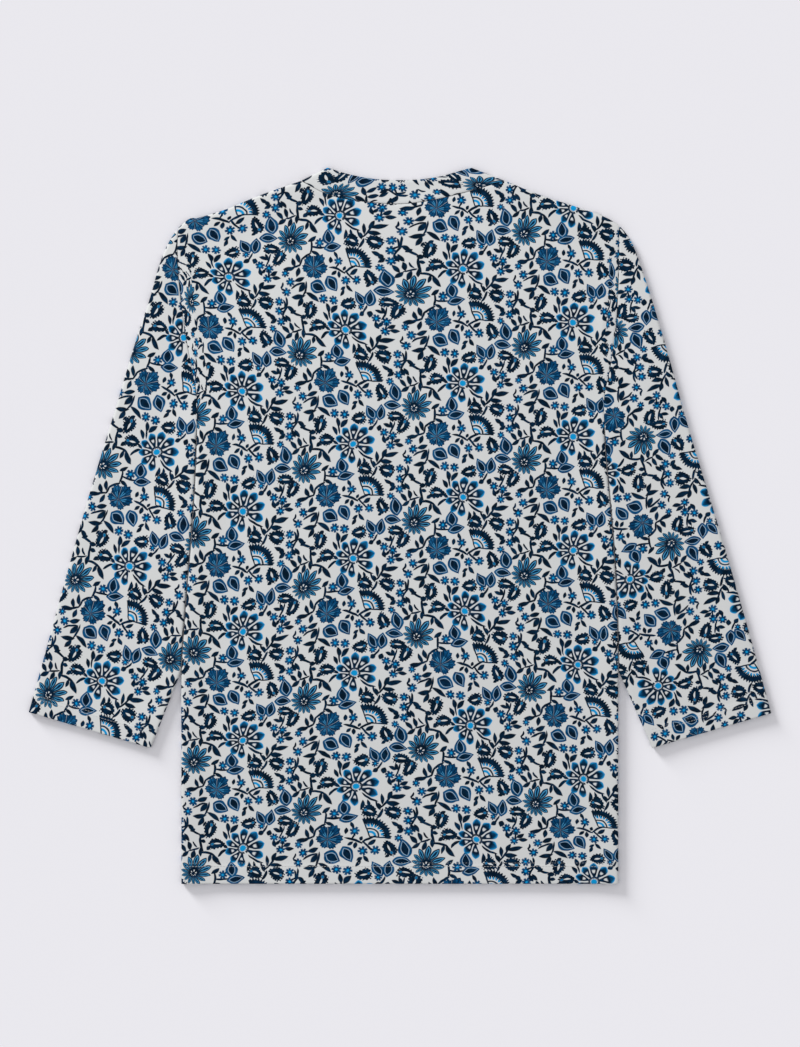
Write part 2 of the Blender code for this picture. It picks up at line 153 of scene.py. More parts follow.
NECK_SAG_REACH = (36.0, 16.0)

# How the surfaces are divided
TURN_STEPS = np.array((0.0, 0.12, 0.45, 1.0, 1.8, 2.6, 4.2))  # from a folded edge inwards
HEM_STEPS = np.array((0.0, 0.3, 0.9, 2.0))  # from a hem's or cuff's edge inwards
COLUMN_STEP = 2.6
ROW_STEP = 2.9
COLLAR_STEP = 1.8
SLEEVE_SPAN = 150.0  # the width of a sleeve that its columns are counted from
EVEN_WIDTH = 20.0  # a sleeve's columns lie evenly where it is no wider than this
EVEN_EASE = 30.0
FINE = 60

# Seams: how deep the cloth sinks at one, how far from it, and the puckers beside it
DITCH = 0.55
DITCH_REACH = 1.0
PUCKER = 0.16
PUCKER_REACH = 4.0

# The strips beside the left and right armhole whose cloth dips out of sight
TUCKS = {  # width, lowest and highest level, and how much the fold at the inner edge hides
    -1: (13.4, 116.0, 262.0, 6.0),
    1: (8.8, 150.0, 270.0, 2.5),
}
TUCKED = 0.8  # how much more cloth lies in a strip than shows
TUCK_FADES = (30.0, 20.0)  # over which a tuck fades out at its lower and its upper end
FOLD_DITCH = 0.4
FOLD_DITCH_REACH = 1.2


def smooth(x, rows):
    """The cubic through rows of (x, y); its slope at a row is the mean of the chords beside it."""
    xs, ys = rows[:, 0], rows[:, 1]
    if xs[0] > xs[-1]:
        xs, ys = xs[::-1], ys[::-1]
    slopes = np.gradient(ys, xs)
    k = np.clip(np.searchsorted(xs, x) - 1, 0, len(xs) - 2)
    span = xs[k + 1] - xs[k]
    t = np.clip((x - xs[k]) / span, 0, 1)
    start = (1 + 2 * t) * (1 - t) ** 2 * ys[k] + t * (1 - t) ** 2 * span * slopes[k]
    end = t**2 * (3 - 2 * t) * ys[k + 1] - t**2 * (1 - t) * span * slopes[k + 1]
    return start + end


def run_along(line):
    """How far along a line each of its points lies: the sum of the stretches before it."""
    return np.concatenate([[0], np.cumsum(np.linalg.norm(np.diff(line, axis=0), axis=1))])


def along(line, fractions):
    """Points at these fractions of a line's length, through its rows as a smooth curve."""
    run = run_along(line)
    at = np.asarray(fractions) * run[-1]
    return np.stack([smooth(at, np.column_stack([run, line[:, i]])) for i in (0, 1)], axis=-1)


def curve(line):
    """The smooth curve through a line's rows, as many short stretches."""
    return along(line, np.linspace(0, 1, FINE))


def length_of(line):
    """The length of the smooth curve through a line's rows."""
    return run_along(curve(line))[-1]


def from_stretch(points, start, end):
    """Each point's share of the way along a straight stretch, and its distance from the stretch."""
    run = end - start
    t = np.clip((points - start) @ run / (run @ run), 0, 1)
    return t, np.linalg.norm(points - start - t[..., None] * run, axis=-1)


def distance(points, line):
    """How far each point lies from a line of straight stretches, in the plane."""
    nearest = np.full(points.shape[:-1], np.inf)
    for start, end in zip(line[:-1], line[1:]):
        np.minimum(nearest, from_stretch(points, start, end)[1], out=nearest)
    return nearest


def eased(t):
    """0 to 1 with a level start and end."""
    t = np.clip(t, 0, 1)
    return t * t * (3 - 2 * t)


def bell(x):
    """1 at 0, fading away on both sides: e to the power of less the square."""
    return np.exp(-(x**2))


def dome(points, middle, reach):
    """1 at the middle and fading away from it along both axes, as a bell."""
    return np.exp(-(((points - middle) / reach) ** 2).sum(-1))


def turned(depth, roll=ROLL):
    """The quarter circle by which a folded edge rises: 0 at the edge, 1 from the roll inwards."""
    q = np.clip(depth / roll, 0, 1)
    return np.sqrt(1 - (1 - q) ** 2)


def hem_roll(depth):
    """How far the outer side drops at a turned-up edge: a small quarter circle."""
    return HEM_ROLL * (1 - turned(depth, HEM_ROLL))


def hem_walls(above_edge, depth):
    """The wall's thickness this far above a turned-up edge: doubled below the hem's depth."""
    return WALL + (HEM_WALL - WALL) * (1 - eased((above_edge - depth) / HEM_EASE))


def folds(points, table):
    """The soft folds of a table: each fades out across its width and at both ends."""
    height = np.zeros(points.shape[:-1])
    for *start, end_x, end_y, width, rise in table:
        t, off = from_stretch(points, np.array(start), np.array((end_x, end_y)))
        height += rise * bell(off / width) * (0.35 + 0.65 * np.sin(np.pi * t))
    return height


def neck_sag(points):
    """How far the back and the collar sink inside the neck: a soft oval dip."""
    return NECK_SAG * dome(points, NECK_SAG_CENTRE, NECK_SAG_REACH)


def upper_height(depth, edge, crest, base):
    """Outer side of an upper layer: up from its edge, round to the crest, and down to its base."""
    level = base + (crest - base) * bell(np.maximum(depth - ROLL, 0) / CREST_SPREAD)
    return edge + (level - edge) * turned(depth)


def lower_height(depth, edge):
    """Outer side of a lower layer: down from its edge and flat on the surface below."""
    return edge * (1 - turned(depth))


def body_edge(levels, side):
    """Points of the body's left or right edge at these levels."""
    column = 1 if side < 0 else 2
    return np.column_stack([smooth(levels, BODY_EDGES[:, [0, column]]), levels])


def steps(start, end, step):
    """Even steps of about this size from start to end, with both of them."""
    return np.linspace(start, end, max(2, int(round(abs(end - start) / step)) + 1))


def lifted(plan, heights):
    """Points in space: those of a plan, at these heights."""
    return np.concatenate([plan, heights[..., None]], axis=-1)


SIDE_LINES = [body_edge(np.linspace(HEM_LEVEL - ROLL, UNDERARM, FINE), side) for side in SIDES]
SHOULDER_LINES = [curve(SHOULDERS[side]) for side in SIDES]
ARMHOLE_LINES = {side: body_edge(np.linspace(UNDERARM, 290, FINE), side) for side in SIDES}
BACK_NECK_LINE = curve(BACK_NECK)


def folded_depth(points):
    """Distance from the nearest edge over which back and front turn into each other."""
    return np.minimum.reduce([distance(points, line) for line in SIDE_LINES + SHOULDER_LINES])


def seam_relief(points, line, run):
    """How far the cloth sinks by a seam: a narrow soft trough along it, and ripples across it.

    The ripples are a sine of the run whose pace wanders, and fade out on both sides of the seam.
    """
    off = distance(points, line)
    ripples = PUCKER * np.sin(0.8 * run + 1.9 * np.sin(0.11 * run)) * bell(off / PUCKER_REACH)
    return DITCH * bell(off / DITCH_REACH) + ripples


def grid_faces(rows, columns):
    """Quads of a grid of points, row by row, as an array of vertex numbers."""
    corner = np.arange(rows * columns).reshape(rows, columns)[:-1, :-1].reshape(-1, 1)
    return corner + np.array((0, 1, columns + 1, columns))


def mesh_object(name, points, faces, material, places=None):
    """A smooth-shaded object from points in millimetres, with its places in the print as UV map.

    places holds one place for each corner of each face.
    """
    mesh = bpy.data.meshes.new(name)
    mesh.from_pydata(points.reshape(-1, 3) * MM, [], faces)
    mesh.shade_smooth()
    mesh.materials.append(material)
    if places is not None:
        uv = (places.reshape(-1) * MM).astype(np.float32)
        mesh.uv_layers.new(name="print").uv.foreach_set("vector", uv)
    piece = bpy.data.objects.new(name, mesh)
    bpy.context.scene.collection.objects.link(piece)
    return piece


# ---------------------------------------------------------------- the print

REPEAT_WIDTH = 107.6  # from one column of daisies to the next
REPEAT_HEIGHT = 111.5  # from one daisy to the next in a column
REPEAT_RISE = 59.2  # how much higher the column on the right starts
CORNERS = ((0.0, 0.0), (0.5, 0.0), (0.0, 0.5), (0.5, 0.5))

# All places are in millimetres from a daisy; turns are in degrees from the print's x axis.
LEAVES = (  # x, y, turn, half length, half width, bend
    # the sprig at the daisy's lower right
    (24.0, -12.5, 92, 5.2, 1.7, 0.3),
    (30.5, -9.0, 62, 4.8, 1.9, -0.4),
    (37.0, -10.5, 8, 7.6, 2.2, 0.6),
    (32.4, -17.0, -8, 6.0, 2.2, 0.5),
    (21.2, -19.0, 115, 3.2, 1.4, 0.2),
    (6.5, -18.5, 80, 4.8, 1.7, 1.2),
    (11.5, -16.5, 100, 3.4, 1.3, 0.4),
    # under the twin stars
    (-14.0, 21.5, 100, 4.8, 2.0, 0.5),
    (-8.5, 20.6, 48, 5.2, 2.2, -0.5),
    (-16.9, 13.5, 115, 4.6, 1.7, 0.5),
    # between the upper pair of stars and the outlined leaves
    (2.4, 40.4, 30, 3.0, 1.5, 0.2),
    (1.5, 36.2, 62, 3.8, 1.6, 0.4),
    (8.2, 40.4, -52, 4.2, 1.6, 0.3),
    (18.2, 15.8, 30, 3.0, 2.1, 0.0),
    (25.8, 15.4, 70, 3.0, 2.3, 0.0),
    # on the branch between pansy and fan
    (13.8, -54.8, 35, 4.4, 1.9, 0.3),
    (-0.8, -57.6, 85, 3.2, 1.7, 0.0),
    (-5.4, -55.8, 38, 3.2, 1.5, 0.0),
    (4.6, -51.2, 60, 2.2, 1.4, 0.0),
    (-8.7, -43.2, 80, 3.0, 1.6, 0.2),
    (-3.4, -37.8, -60, 3.3, 1.5, 0.2),
    # the sprig of three stars on the right
    (33.8, 18.2, 155, 3.9, 1.6, 0.3),
    (37.4, 19.2, 105, 3.4, 1.5, 0.2),
    (30.7, 4.2, -70, 3.5, 1.9, 0.3),
    (34.2, 5.2, 50, 3.0, 1.4, 0.0),
    (43.2, 2.8, 20, 4.0, 1.8, 0.3),
    (45.4, -1.2, -6, 4.4, 1.9, 0.3),
    # by the chain of stars below it
    (53.2, -41.2, -58, 4.2, 1.7, 0.2),
    (57.2, -31.4, -35, 3.6, 1.8, 0.2),
    (34.7, -37.2, -30, 4.4, 1.7, 0.4),
    (38.2, -39.8, -50, 3.4, 2.1, 0.0),
    (38.8, -43.6, 35, 3.8, 1.8, 0.2),
    # along the branch from the left down to the daisy
    (-39.3, 12.2, 0, 3.1, 2.1, 0.0),
    (-38.2, 6.8, -12, 2.8, 1.7, 0.0),
    (-48.6, 18.0, 24, 3.0, 1.7, 0.0),
    (-57.6, 11.0, 120, 4.0, 1.8, 0.3),
    (-57.6, 0.4, 130, 4.8, 1.9, 0.3),
    (-51.7, 2.9, 105, 4.6, 1.9, 0.3),
    (-55.6, -5.8, 35, 4.6, 1.8, 0.3),
    (-48.0, -6.4, 68, 4.6, 1.9, 0.3),
    (-41.4, -3.8, 90, 4.2, 1.6, 0.0),
    (-33.2, 0.3, 40, 2.8, 1.8, 0.0),
    (-31.8, -9.6, 75, 4.2, 1.6, 0.3),
    (-26.0, -11.8, -55, 6.8, 2.3, 1.0),
    # the sprig under the lotus
    (-26.6, -23.0, 35, 4.6, 1.8, 0.4),
    (-23.7, -36.0, -25, 4.2, 1.6, 0.2),
    (-40.4, -41.6, -75, 4.8, 1.9, 0.3),
    (-44.8, -45.8, -70, 4.6, 1.8, 0.3),
    (-49.4, -52.0, 5, 5.6, 2.0, 0.3),
    (-40.6, -55.0, 75, 4.4, 1.9, 0.2),
    # the sprig left of the pansy's buds
    (-37.6, 41.4, 55, 5.4, 2.4, 0.5),
    (-41.8, 32.2, 8, 6.6, 2.1, 0.6),
    (-40.2, 27.0, 60, 5.0, 2.1, 0.5),
    (-28.0, 32.8, -36, 7.6, 2.1, -0.8),
    (-39.2, 49.2, 20, 5.2, 2.1, 0.4),
    # tails of the paisley buds, and the small leaves beside them
    (-30.2, 26.8, 20, 2.6, 1.5, 0.4),
    (-37.4, 24.4, 60, 2.6, 1.1, 0.0),
    (-16.8, 1.6, -40, 2.8, 1.4, 0.5),
    (26.6, 43.6, 40, 2.6, 1.4, 0.4),
)
# Stems, outlined leaves and paisleys have the same columns as the leaves.
STEMS = (
    (27.6, -15.2, 54, 9.6, 0.9, 1.6),
    (21.8, -27.0, 60, 5.8, 1.1, 0.7),
    (12.0, -11.6, -30, 8.4, 1.0, 1.5),
    (19.0, -18.6, -66, 5.6, 0.9, 0.9),
    (-13.8, 17.6, 94, 8.0, 0.8, -0.6),
    (21.8, 19.2, 55, 5.4, 0.9, 0.6),
    (-2.0, -52.0, -22, 8.6, 1.1, -1.3),
    (10.5, -51.4, 28, 7.8, 1.0, -0.9),
    (9.2, -57.8, -48, 5.8, 0.9, 0.5),
    (-2.3, -48.4, 58, 3.2, 0.8, 0.0),
    (38.9, 15.6, 66, 7.4, 0.8, 1.1),
    (38.6, 3.4, 80, 4.4, 0.7, 0.3),
    (53.9, -25.6, 86, 5.4, 1.0, 0.7),
    (50.4, -34.4, 58, 6.6, 0.9, -0.9),
    (49.7, -31.0, 22, 3.8, 0.8, 0.2),
    (-47.6, 16.8, -35, 8.6, 1.1, 1.5),
    (-41.0, 4.6, -84, 8.6, 1.1, 1.4),
    (-33.6, -4.4, -14, 8.4, 1.1, -2.0),
    (-20.6, -4.0, 40, 5.6, 1.2, -1.0),
    (-55.8, 25.4, 96, 4.6, 0.9, 0.8),
    (-47.2, -1.4, 16, 5.6, 0.8, 0.5),
    (-46.9, 3.6, -55, 3.8, 0.8, 0.7),
    (-27.0, -30.4, 86, 6.4, 1.0, 1.1),
    (-32.8, -39.2, 34, 6.8, 1.0, -0.9),
    (-37.4, -45.4, 72, 4.8, 0.9, 0.4),
    (-43.0, -50.0, 16, 5.8, 0.9, 0.5),
    (-20.4, -31.0, -2, 7.4, 0.9, 0.9),
    (-34.4, 39.8, 72, 7.8, 0.9, 1.0),
    (-42.4, 44.0, 24, 7.2, 0.9, -0.8),
    (-56.4, 43.4, 62, 3.2, 0.9, 1.0),
    (-56.6, 39.4, -30, 2.6, 0.9, 0.8),
)
OUTLINED_LEAVES = (
    (17.7, 30.8, -62, 8.0, 4.4, 0.0),
    (27.2, 31.0, -100, 8.0, 4.8, 0.0),
    (-10.7, -20.7, -84, 7.8, 5.6, 0.0),
    (-6.6, -30.4, 192, 8.6, 4.4, 0.3),
    (-21.7, 42.0, 152, 8.2, 6.2, 0.0),
    (-8.2, 45.2, 118, 8.2, 5.6, 0.0),
    (42.0, 50.6, -78, 9.0, 5.6, 0.0),
    (39.2, 38.0, 174, 8.2, 4.4, 0.3),
)
PAISLEYS = (
    (-24.9, 4.9, 178, 7.6, 5.2, 1.2),
    (-31.8, 18.4, 72, 8.2, 5.6, 0.8),
    (5.9, 25.1, 10, 7.2, 5.4, 0.8),
    (12.8, -24.0, 160, 6.8, 6.0, 1.6),
    (32.7, -25.5, -20, 7.4, 6.2, 0.4),
    (42.4, 27.2, 172, 7.8, 4.6, 0.8),
    (48.9, 17.4, 60, 8.2, 5.4, 0.8),
    (28.4, 51.2, -66, 7.8, 5.4, 0.8),
)
STARS = (  # x, y of the middle of a pair, turn of the line through both, half their spacing, radius
    (-12.8, 29.8, -7, 4.9, 4.4),
    (10.8, 48.7, 4, 5.3, 4.4),
    (34.9, 9.4, -20, 4.5, 4.2),
    (41.6, -13.0, -68, 12.2, 4.2),
    (45.9, -39.0, 90, 5.3, 4.3),
    (-50.9, 42.0, 64, 5.6, 4.3),
    (-10.3, -35.2, -44, 12.6, 4.4),
    (-53.0, 55.2, 0, 0.0, 3.6),
    (18.1, 22.3, 0, 0.0, 3.2),
    (37.1, -50.8, 0, 0.0, 3.6),
)
# x, y, turn and reach of the four big motifs
DAISY = (0.0, 0.0, 13.5, 19.4)
LOTUS = (-48.4, -25.3, 50.0, 13.9)
PANSY = (-25.6, -51.8, 58.0, 12.4)
FAN = (11.8, -49.2, 52.0, 18.8)
TEETH = (1750.0, 400.0)  # the pace of the paisleys' teeth, in radians a metre


class Field:
    """A number or a place that changes over the cloth: a socket of a node tree.

    Each operator adds one Math node, so that the print's shapes can be written as formulas.
    """

    def __init__(self, tree, socket):
        self.tree, self.socket = tree, socket

    def node(self, kind, operation, values, clamp=False):
        """A node with this operation, whose first inputs are these fields or values."""
        node = self.tree.nodes.new(kind)
        node.operation = operation
        if clamp:
            node.use_clamp = True
        for socket, value in zip(node.inputs, values):
            if isinstance(value, Field):
                self.tree.links.new(value.socket, socket)
            else:
                socket.default_value = value
        return node

    def math(self, operation, *values, clamp=False):
        node = self.node("ShaderNodeMath", operation, (self, *values), clamp)
        return Field(self.tree, node.outputs[0])

    def place(self, operation, *values):
        node = self.node("ShaderNodeVectorMath", operation, (self, *values))
        return Field(self.tree, node.outputs[0])

    def dot(self, axis):
        node = self.node("ShaderNodeVectorMath", "DOT_PRODUCT", (self, axis))
        return Field(self.tree, node.outputs[1])

    def __add__(self, other):
        return self.math("ADD", other)

    def __sub__(self, other):
        return self.math("SUBTRACT", other)

    def __mul__(self, other):
        return self.math("MULTIPLY", other)

    def __abs__(self):
        return self.math("ABSOLUTE")

    def times_plus(self, factor, more, clamp=False):
        """This number times the factor, plus more."""
        return self.math("MULTIPLY_ADD", factor, more, clamp=clamp)

    def least(self, other):
        return self.math("MINIMUM", other)

    def most(self, other):
        return self.math("MAXIMUM", other)

    def below(self, edge, softness):
        """1 where this number is below the edge, fading to 0 across the softness."""
        return self.times_plus(-1 / softness, edge / softness + 0.5, clamp=True)

    def above(self, edge, softness):
        """1 where this number is above the edge, fading to 0 across the softness."""
        return self.times_plus(1 / softness, 0.5 - edge / softness, clamp=True)

    def near(self, middle, half, softness):
        """1 within half of the middle, fading to 0 on both sides."""
        return abs(self - middle).below(half, softness)


def wrapped(shares):
    """Shares of a step less their nearest whole number, so between minus and plus a half."""
    return (shares + 0.5) % 1.0 - 0.5


def motif_axes(folded, x, y, turn, length=1.0, width=None):
    """How far along and across a motif at (x, y) each spot lies, in units of its length and width.

    The motif is read from the nearest of the repeat's four corners, so that it never meets the
    edge of the corner's cell. A corner's field holds shares of the repeat's two steps, then 1.
    """
    width = length if width is None else width
    share = np.array((x / REPEAT_WIDTH, (y - REPEAT_RISE * x / REPEAT_WIDTH) / REPEAT_HEIGHT))
    corner = min(CORNERS, key=lambda c: np.abs(wrapped(share - c)).max())
    a, b = wrapped(share - corner)
    x, y = REPEAT_WIDTH * a, REPEAT_HEIGHT * b + REPEAT_RISE * a
    c, s = np.cos(np.radians(turn)), np.sin(np.radians(turn))
    along_axis = np.array((REPEAT_WIDTH * c + REPEAT_RISE * s, REPEAT_HEIGHT * s, -x * c - y * s))
    across_axis = np.array((REPEAT_RISE * c - REPEAT_WIDTH * s, REPEAT_HEIGHT * c, x * s - y * c))
    return folded[corner].dot(along_axis / length), folded[corner].dot(across_axis / width)


def bent_axes(folded, x, y, turn, length, width, bend):
    """Shares along and across a bent motif, and the square of the share along it.

    The bend moves the motif sideways by the square of the share along it.
    """
    at, across = motif_axes(folded, x, y, turn, length, width)
    square = at * at
    if bend:
        across = square.times_plus(-bend / width, across)
    return at, across, square


def union(shapes):
    """The least of each field over shapes of one or more fields: below 1 inside any of them."""
    found = None
    for shape in shapes:
        found = shape if found is None else [a.least(b) for a, b in zip(found, shape)]
    return found


def leaf(folded, *row, fuller=0.0):
    """Below 1 inside a pointed leaf: the square of the share along it plus the share across it.

    A fuller leaf is wider towards its far end.
    """
    at, across, square = bent_axes(folded, *row)
    if fuller:
        return (abs(across) * at.times_plus(-fuller, 1.0) + square,)
    return (abs(across) + square,)


def stem(folded, *row):
    """Below 1 inside a stem, which is a leaf that keeps its width nearly to its ends."""
    _, across, square = bent_axes(folded, *row)
    return ((square * square) + abs(across),)


def bud(folded, *row):
    """Below 1 inside an egg-shaped bud: the squares of both shares, fuller towards its far end.

    The second field is low round a spot towards the far end, and the third is below 1 inside the
    pointed opening that runs along the bud.
    """
    at, across, square = bent_axes(folded, *row)
    across = across * at.times_plus(-0.3, 1.0)
    inside = (across * across) + square
    opening = abs(across).times_plus(5.8, square * 4.6)
    return inside, at.times_plus(-1.24, inside), opening


def star(folded, x, y, turn, half_gap, radius):
    """Below 1 inside one of a pair of stars, whose seven arms keep their width, then the radius."""
    at, across = motif_axes(folded, x, y, turn, radius)
    if half_gap:
        at = abs(at) - half_gap / radius
    wave = across.math("ARCTAN2", at).math("PINGPONG", np.pi / 7)
    reach = (across * across + at * at).math("SQRT")
    return (wave * reach).math("MULTIPLY", 3.8).most(reach), reach


def mix(tree, factor, first, second):
    """The first colour, and the second in its place by the factor's share."""
    node = tree.nodes.new("ShaderNodeMix")
    node.data_type = "RGBA"
    for index, value in ((0, factor), (6, first), (7, second)):
        if isinstance(value, Field):
            tree.links.new(value.socket, node.inputs[index])
        else:
            node.inputs[index].default_value = value
    return Field(tree, node.outputs[2])


def petals(folded, x, y, turn, reach, count, lean=0.0):
    """Polar places in a flower: distance from its middle, angle, and angle from the nearest petal.

    Where the flower leans, petals on its axis reach further than those behind it.
    """
    at, across = motif_axes(folded, x, y, turn, reach)
    radius = (across * across + at * at).math("SQRT")
    angle = across.math("ARCTAN2", at)
    if lean:
        radius = at.times_plus(-lean, radius)
    return radius, angle, angle.math("PINGPONG", np.pi / count)


def daisy(folded):
    """Ten drop petals, one left out where the stem starts, round a bright middle ringed by dots.

    A petal is dark with a pale window near its foot, and its tip is blue with a bright edge.
    """
    radius, angle, off_axis = petals(folded, *DAISY, 10, lean=0.12)
    square = radius * radius
    fourth = square * square
    rounding = (fourth * fourth).times_plus(-0.35, 0.35)
    inside = (radius - 0.15) * rounding - radius * off_axis
    inside = inside - angle.math("COMPARE", -1.25, 0.3)
    filled = inside.above(0.0, 0.03)
    tip = radius.above(0.82, 0.18)
    window = inside.above(0.078, 0.03) * radius.near(0.56, 0.08, 0.07)
    dots = radius.near(0.24, 0.05, 0.04) * off_axis.above(0.12, 0.08)
    bright = inside.near(0.025, 0.05, 0.04) * radius.above(0.76, 0.16)
    navy = filled * tip.times_plus(-0.85, 1.0) - window - bright * 0.25
    return navy.most(dots), filled - window, None, radius.below(0.15, 0.04).most(bright * 0.75)


def lotus(folded):
    """Thirteen long petals, each dark at its rim and along its middle with a pale streak between.

    The upper ones are longer; the middle is dark, with pale seeds.
    """
    radius, angle, off_axis = petals(folded, *LOTUS, 13, lean=0.33)
    square = radius * radius
    rounding = (square * square).times_plus(-0.31, 0.31)
    sideways = radius * off_axis
    inside = (radius - 0.12) * rounding - sideways
    filled = inside.above(0.0, 0.03)
    rim = inside.near(0.018, 0.032, 0.02)
    streak = inside.near(0.068, 0.012, 0.016)
    vein = sideways.below(0.028, 0.02) * radius.near(0.56, 0.26, 0.1)
    middle = radius.below(0.35, 0.06)
    seeds = angle.math("PINGPONG", np.pi / 7).above(0.26, 0.1) * radius.near(0.16, 0.05, 0.03)
    navy = (rim * 0.9).most(vein).most(middle) - seeds
    return navy, filled.most(middle) - seeds, streak * 0.9, None


def pansy(folded):
    """Six ruffled petals, dark at their rims and along their folds, with short pale strokes."""
    radius, angle, off_axis = petals(folded, *PANSY, 6, lean=0.26)
    ruffle = angle.math("PINGPONG", np.pi / 24)
    inside = (off_axis * off_axis).times_plus(-0.8, 1.02) - radius
    inside = ruffle.times_plus(-0.9, inside)
    inside = inside.least(off_axis.times_plus(-1.0, 0.505) * radius)
    filled = inside.above(-0.002, 0.026)
    rim = inside.near(0.045, 0.05, 0.05)
    fold = ruffle.below(0.045, 0.04) * radius.near(0.62, 0.24, 0.1)
    stroke = off_axis.near(0.12, 0.04, 0.04) * radius.near(0.32, 0.2, 0.06)
    navy = (rim * 0.75).most(fold * 0.85).most(radius.near(0.5, 0.2, 0.3) * 0.5) * filled
    return navy - stroke, filled, stroke * 0.7, None


def fan(folded):
    """A shell: a broad toothed band, then beads, a pale ring and small arcs, between two lines."""
    radius, angle, _ = petals(folded, *FAN, 4)
    spread = abs(angle)
    sector = spread.below(0.98, 0.05)
    teeth = angle.math("PINGPONG", 0.075)
    toothed = teeth.times_plus(1.7, radius)
    band = toothed.near(0.88, 0.18, 0.03)
    arc = radius.near(0.42, 0.04, 0.03)
    sides = ((spread - 0.98) * radius).near(0.0, 0.035, 0.02) * radius.below(0.98, 0.03)
    beads = radius.near(0.6, 0.075, 0.03) * angle.math("PINGPONG", 0.14).above(0.05, 0.03)
    inner = radius.near(0.25, 0.06, 0.03)
    navy = (band.most(arc) * sector).most(sides)
    return navy, None, None, beads.most(inner) * sector


def drawn_print(tree, place):
    """The whole print at a place, as four masks from 0 to 1: navy, blue, sky and cyan.

    The place is counted in the repeat's two steps and folded into the cell round each of the
    repeat's four corners, and each motif is drawn in the cell that it lies deepest in.
    """
    lattice_a = place.dot((1 / (REPEAT_WIDTH * MM), 0.0, 0.0))
    lattice_b = place.dot(
        (-REPEAT_RISE / (REPEAT_WIDTH * REPEAT_HEIGHT * MM), 1 / (REPEAT_HEIGHT * MM), 0.0)
    )
    combine = tree.nodes.new("ShaderNodeCombineXYZ")
    for socket, field in zip(combine.inputs, (lattice_a, lattice_b)):
        tree.links.new(field.socket, socket)
    combine.inputs[2].default_value = 1.0
    lattice = Field(tree, combine.outputs[0])
    folded = {}
    for a, b in CORNERS:
        off = lattice.place("SUBTRACT", (a, b, 0.0))
        folded[a, b] = off.place("WRAP", (0.5, 0.5, 2.0), (-0.5, -0.5, 0.0))

    solids = ((leaf, LEAVES), (stem, STEMS))
    (solid,) = union(shape(folded, *row) for shape, rows in solids for row in rows)
    navy = solid.below(1.14, 0.3)
    found, centre = union(star(folded, *row) for row in STARS)
    blue = found.below(1.0, 0.2)
    navy = navy.most(blue * centre.above(0.42, 0.25) * 0.5)
    cyan = centre.below(0.25, 0.1)

    (outlined,) = union(leaf(folded, *row, fuller=0.3) for row in OUTLINED_LEAVES)
    rim, core = outlined.near(0.87, 0.22, 0.08), outlined.below(0.58, 0.06)
    navy = navy.most(rim * 0.3).most(outlined.below(0.52, 0.14))
    blue = blue.most(rim).most(core)
    sky = outlined.near(0.62, 0.06, 0.08) * 0.3

    fast, slow = TEETH
    teeth = place.dot((fast, slow, 0.0)).math("SINE") * place.dot((-slow, fast, 0.0)).math("SINE")
    paisley, beside, opening = union(bud(folded, *row) for row in PAISLEYS)
    toothed = teeth.times_plus(0.32, paisley)
    spot = beside.below(-0.345, 0.03)
    dark = toothed.below(1.06, 0.14) * opening.above(0.95, 0.2)
    navy = navy.most(dark - spot * 0.7)
    blue = blue.most(spot)
    cyan = cyan.most(spot * 0.6)

    masks = navy, blue, sky, cyan
    for motif in (daisy, lotus, pansy, fan):
        masks = [mask.most(more) if more else mask for mask, more in zip(masks, motif(folded))]
    return masks


NAVY = (0.0006, 0.0075, 0.0185, 1.0)
BLUE = (0.0004, 0.072, 0.205, 1.0)
SKY = (0.085, 0.37, 0.6, 1.0)
CYAN = (0.004, 0.26, 0.55, 1.0)
JERSEY = (0.585, 0.595, 0.59, 1.0)
THREAD_SHADES = ((0.36, 0.37, 0.38, 1.0), (0.55, 0.55, 0.54, 1.0))
RIB_PITCH = 0.0008  # metres from one rib of the jersey to the next
LOOP_PITCH = 0.0006  # and from one row of loops to the next


def new_group(name, inputs, outputs):
    """A node group whose sockets have these names and kinds, and its start and end nodes."""
    tree = bpy.data.node_groups.new(name, "ShaderNodeTree")
    for way, sockets in (("INPUT", inputs), ("OUTPUT", outputs)):
        for socket, kind in sockets.items():
            tree.interface.new_socket(socket, in_out=way, socket_type="NodeSocket" + kind)
    return tree, tree.nodes.new("NodeGroupInput"), tree.nodes.new("NodeGroupOutput")


def noise(tree, place, scale, detail=2.0, output="Fac"):
    """Noise at a place, which is a socket."""
    node = tree.nodes.new("ShaderNodeTexNoise")
    node.inputs["Scale"].default_value = scale
    node.inputs["Detail"].default_value = detail
    tree.links.new(place, node.inputs["Vector"])
    return Field(tree, node.outputs[output])


def garden_print():
    """Node group: the indigo print at a place given in metres, as colour and as share of ink.

    The place wanders a little, as a hand-cut block does, and the inks are watery in patches.
    """
    inputs = {"Place": "Vector", "Strength": "Float"}
    tree, start, end = new_group("garden_print", inputs, {"Colour": "Color", "Ink": "Float"})
    place = Field(tree, start.outputs["Place"])
    wander = noise(tree, place.socket, 110.0, detail=1.0, output="Color")
    off = wander.place("SUBTRACT", (0.5, 0.5, 0.5))
    place = off.place("MULTIPLY_ADD", (0.0022, 0.0022, 0.0), place)
    watery = noise(tree, place.socket, 160.0)

    navy, blue, sky, cyan = drawn_print(tree, place)
    strength = Field(tree, start.outputs["Strength"])
    thin, deep = watery.above(0.57, 0.3), watery.below(0.46, 0.2)
    dark = mix(tree, thin * 0.22, NAVY, BLUE)
    light = mix(tree, thin * 0.16, BLUE, SKY)
    light = mix(tree, deep * 0.35, light, NAVY)
    colour = JERSEY
    for mask, dye in ((blue, light), (sky, SKY), (cyan, CYAN), (navy, dark)):
        colour = mix(tree, mask * strength, colour, dye)
    ink = navy.most(blue) * strength
    tree.links.new(colour.socket, end.inputs["Colour"])
    tree.links.new(ink.socket, end.inputs["Ink"])
    return tree


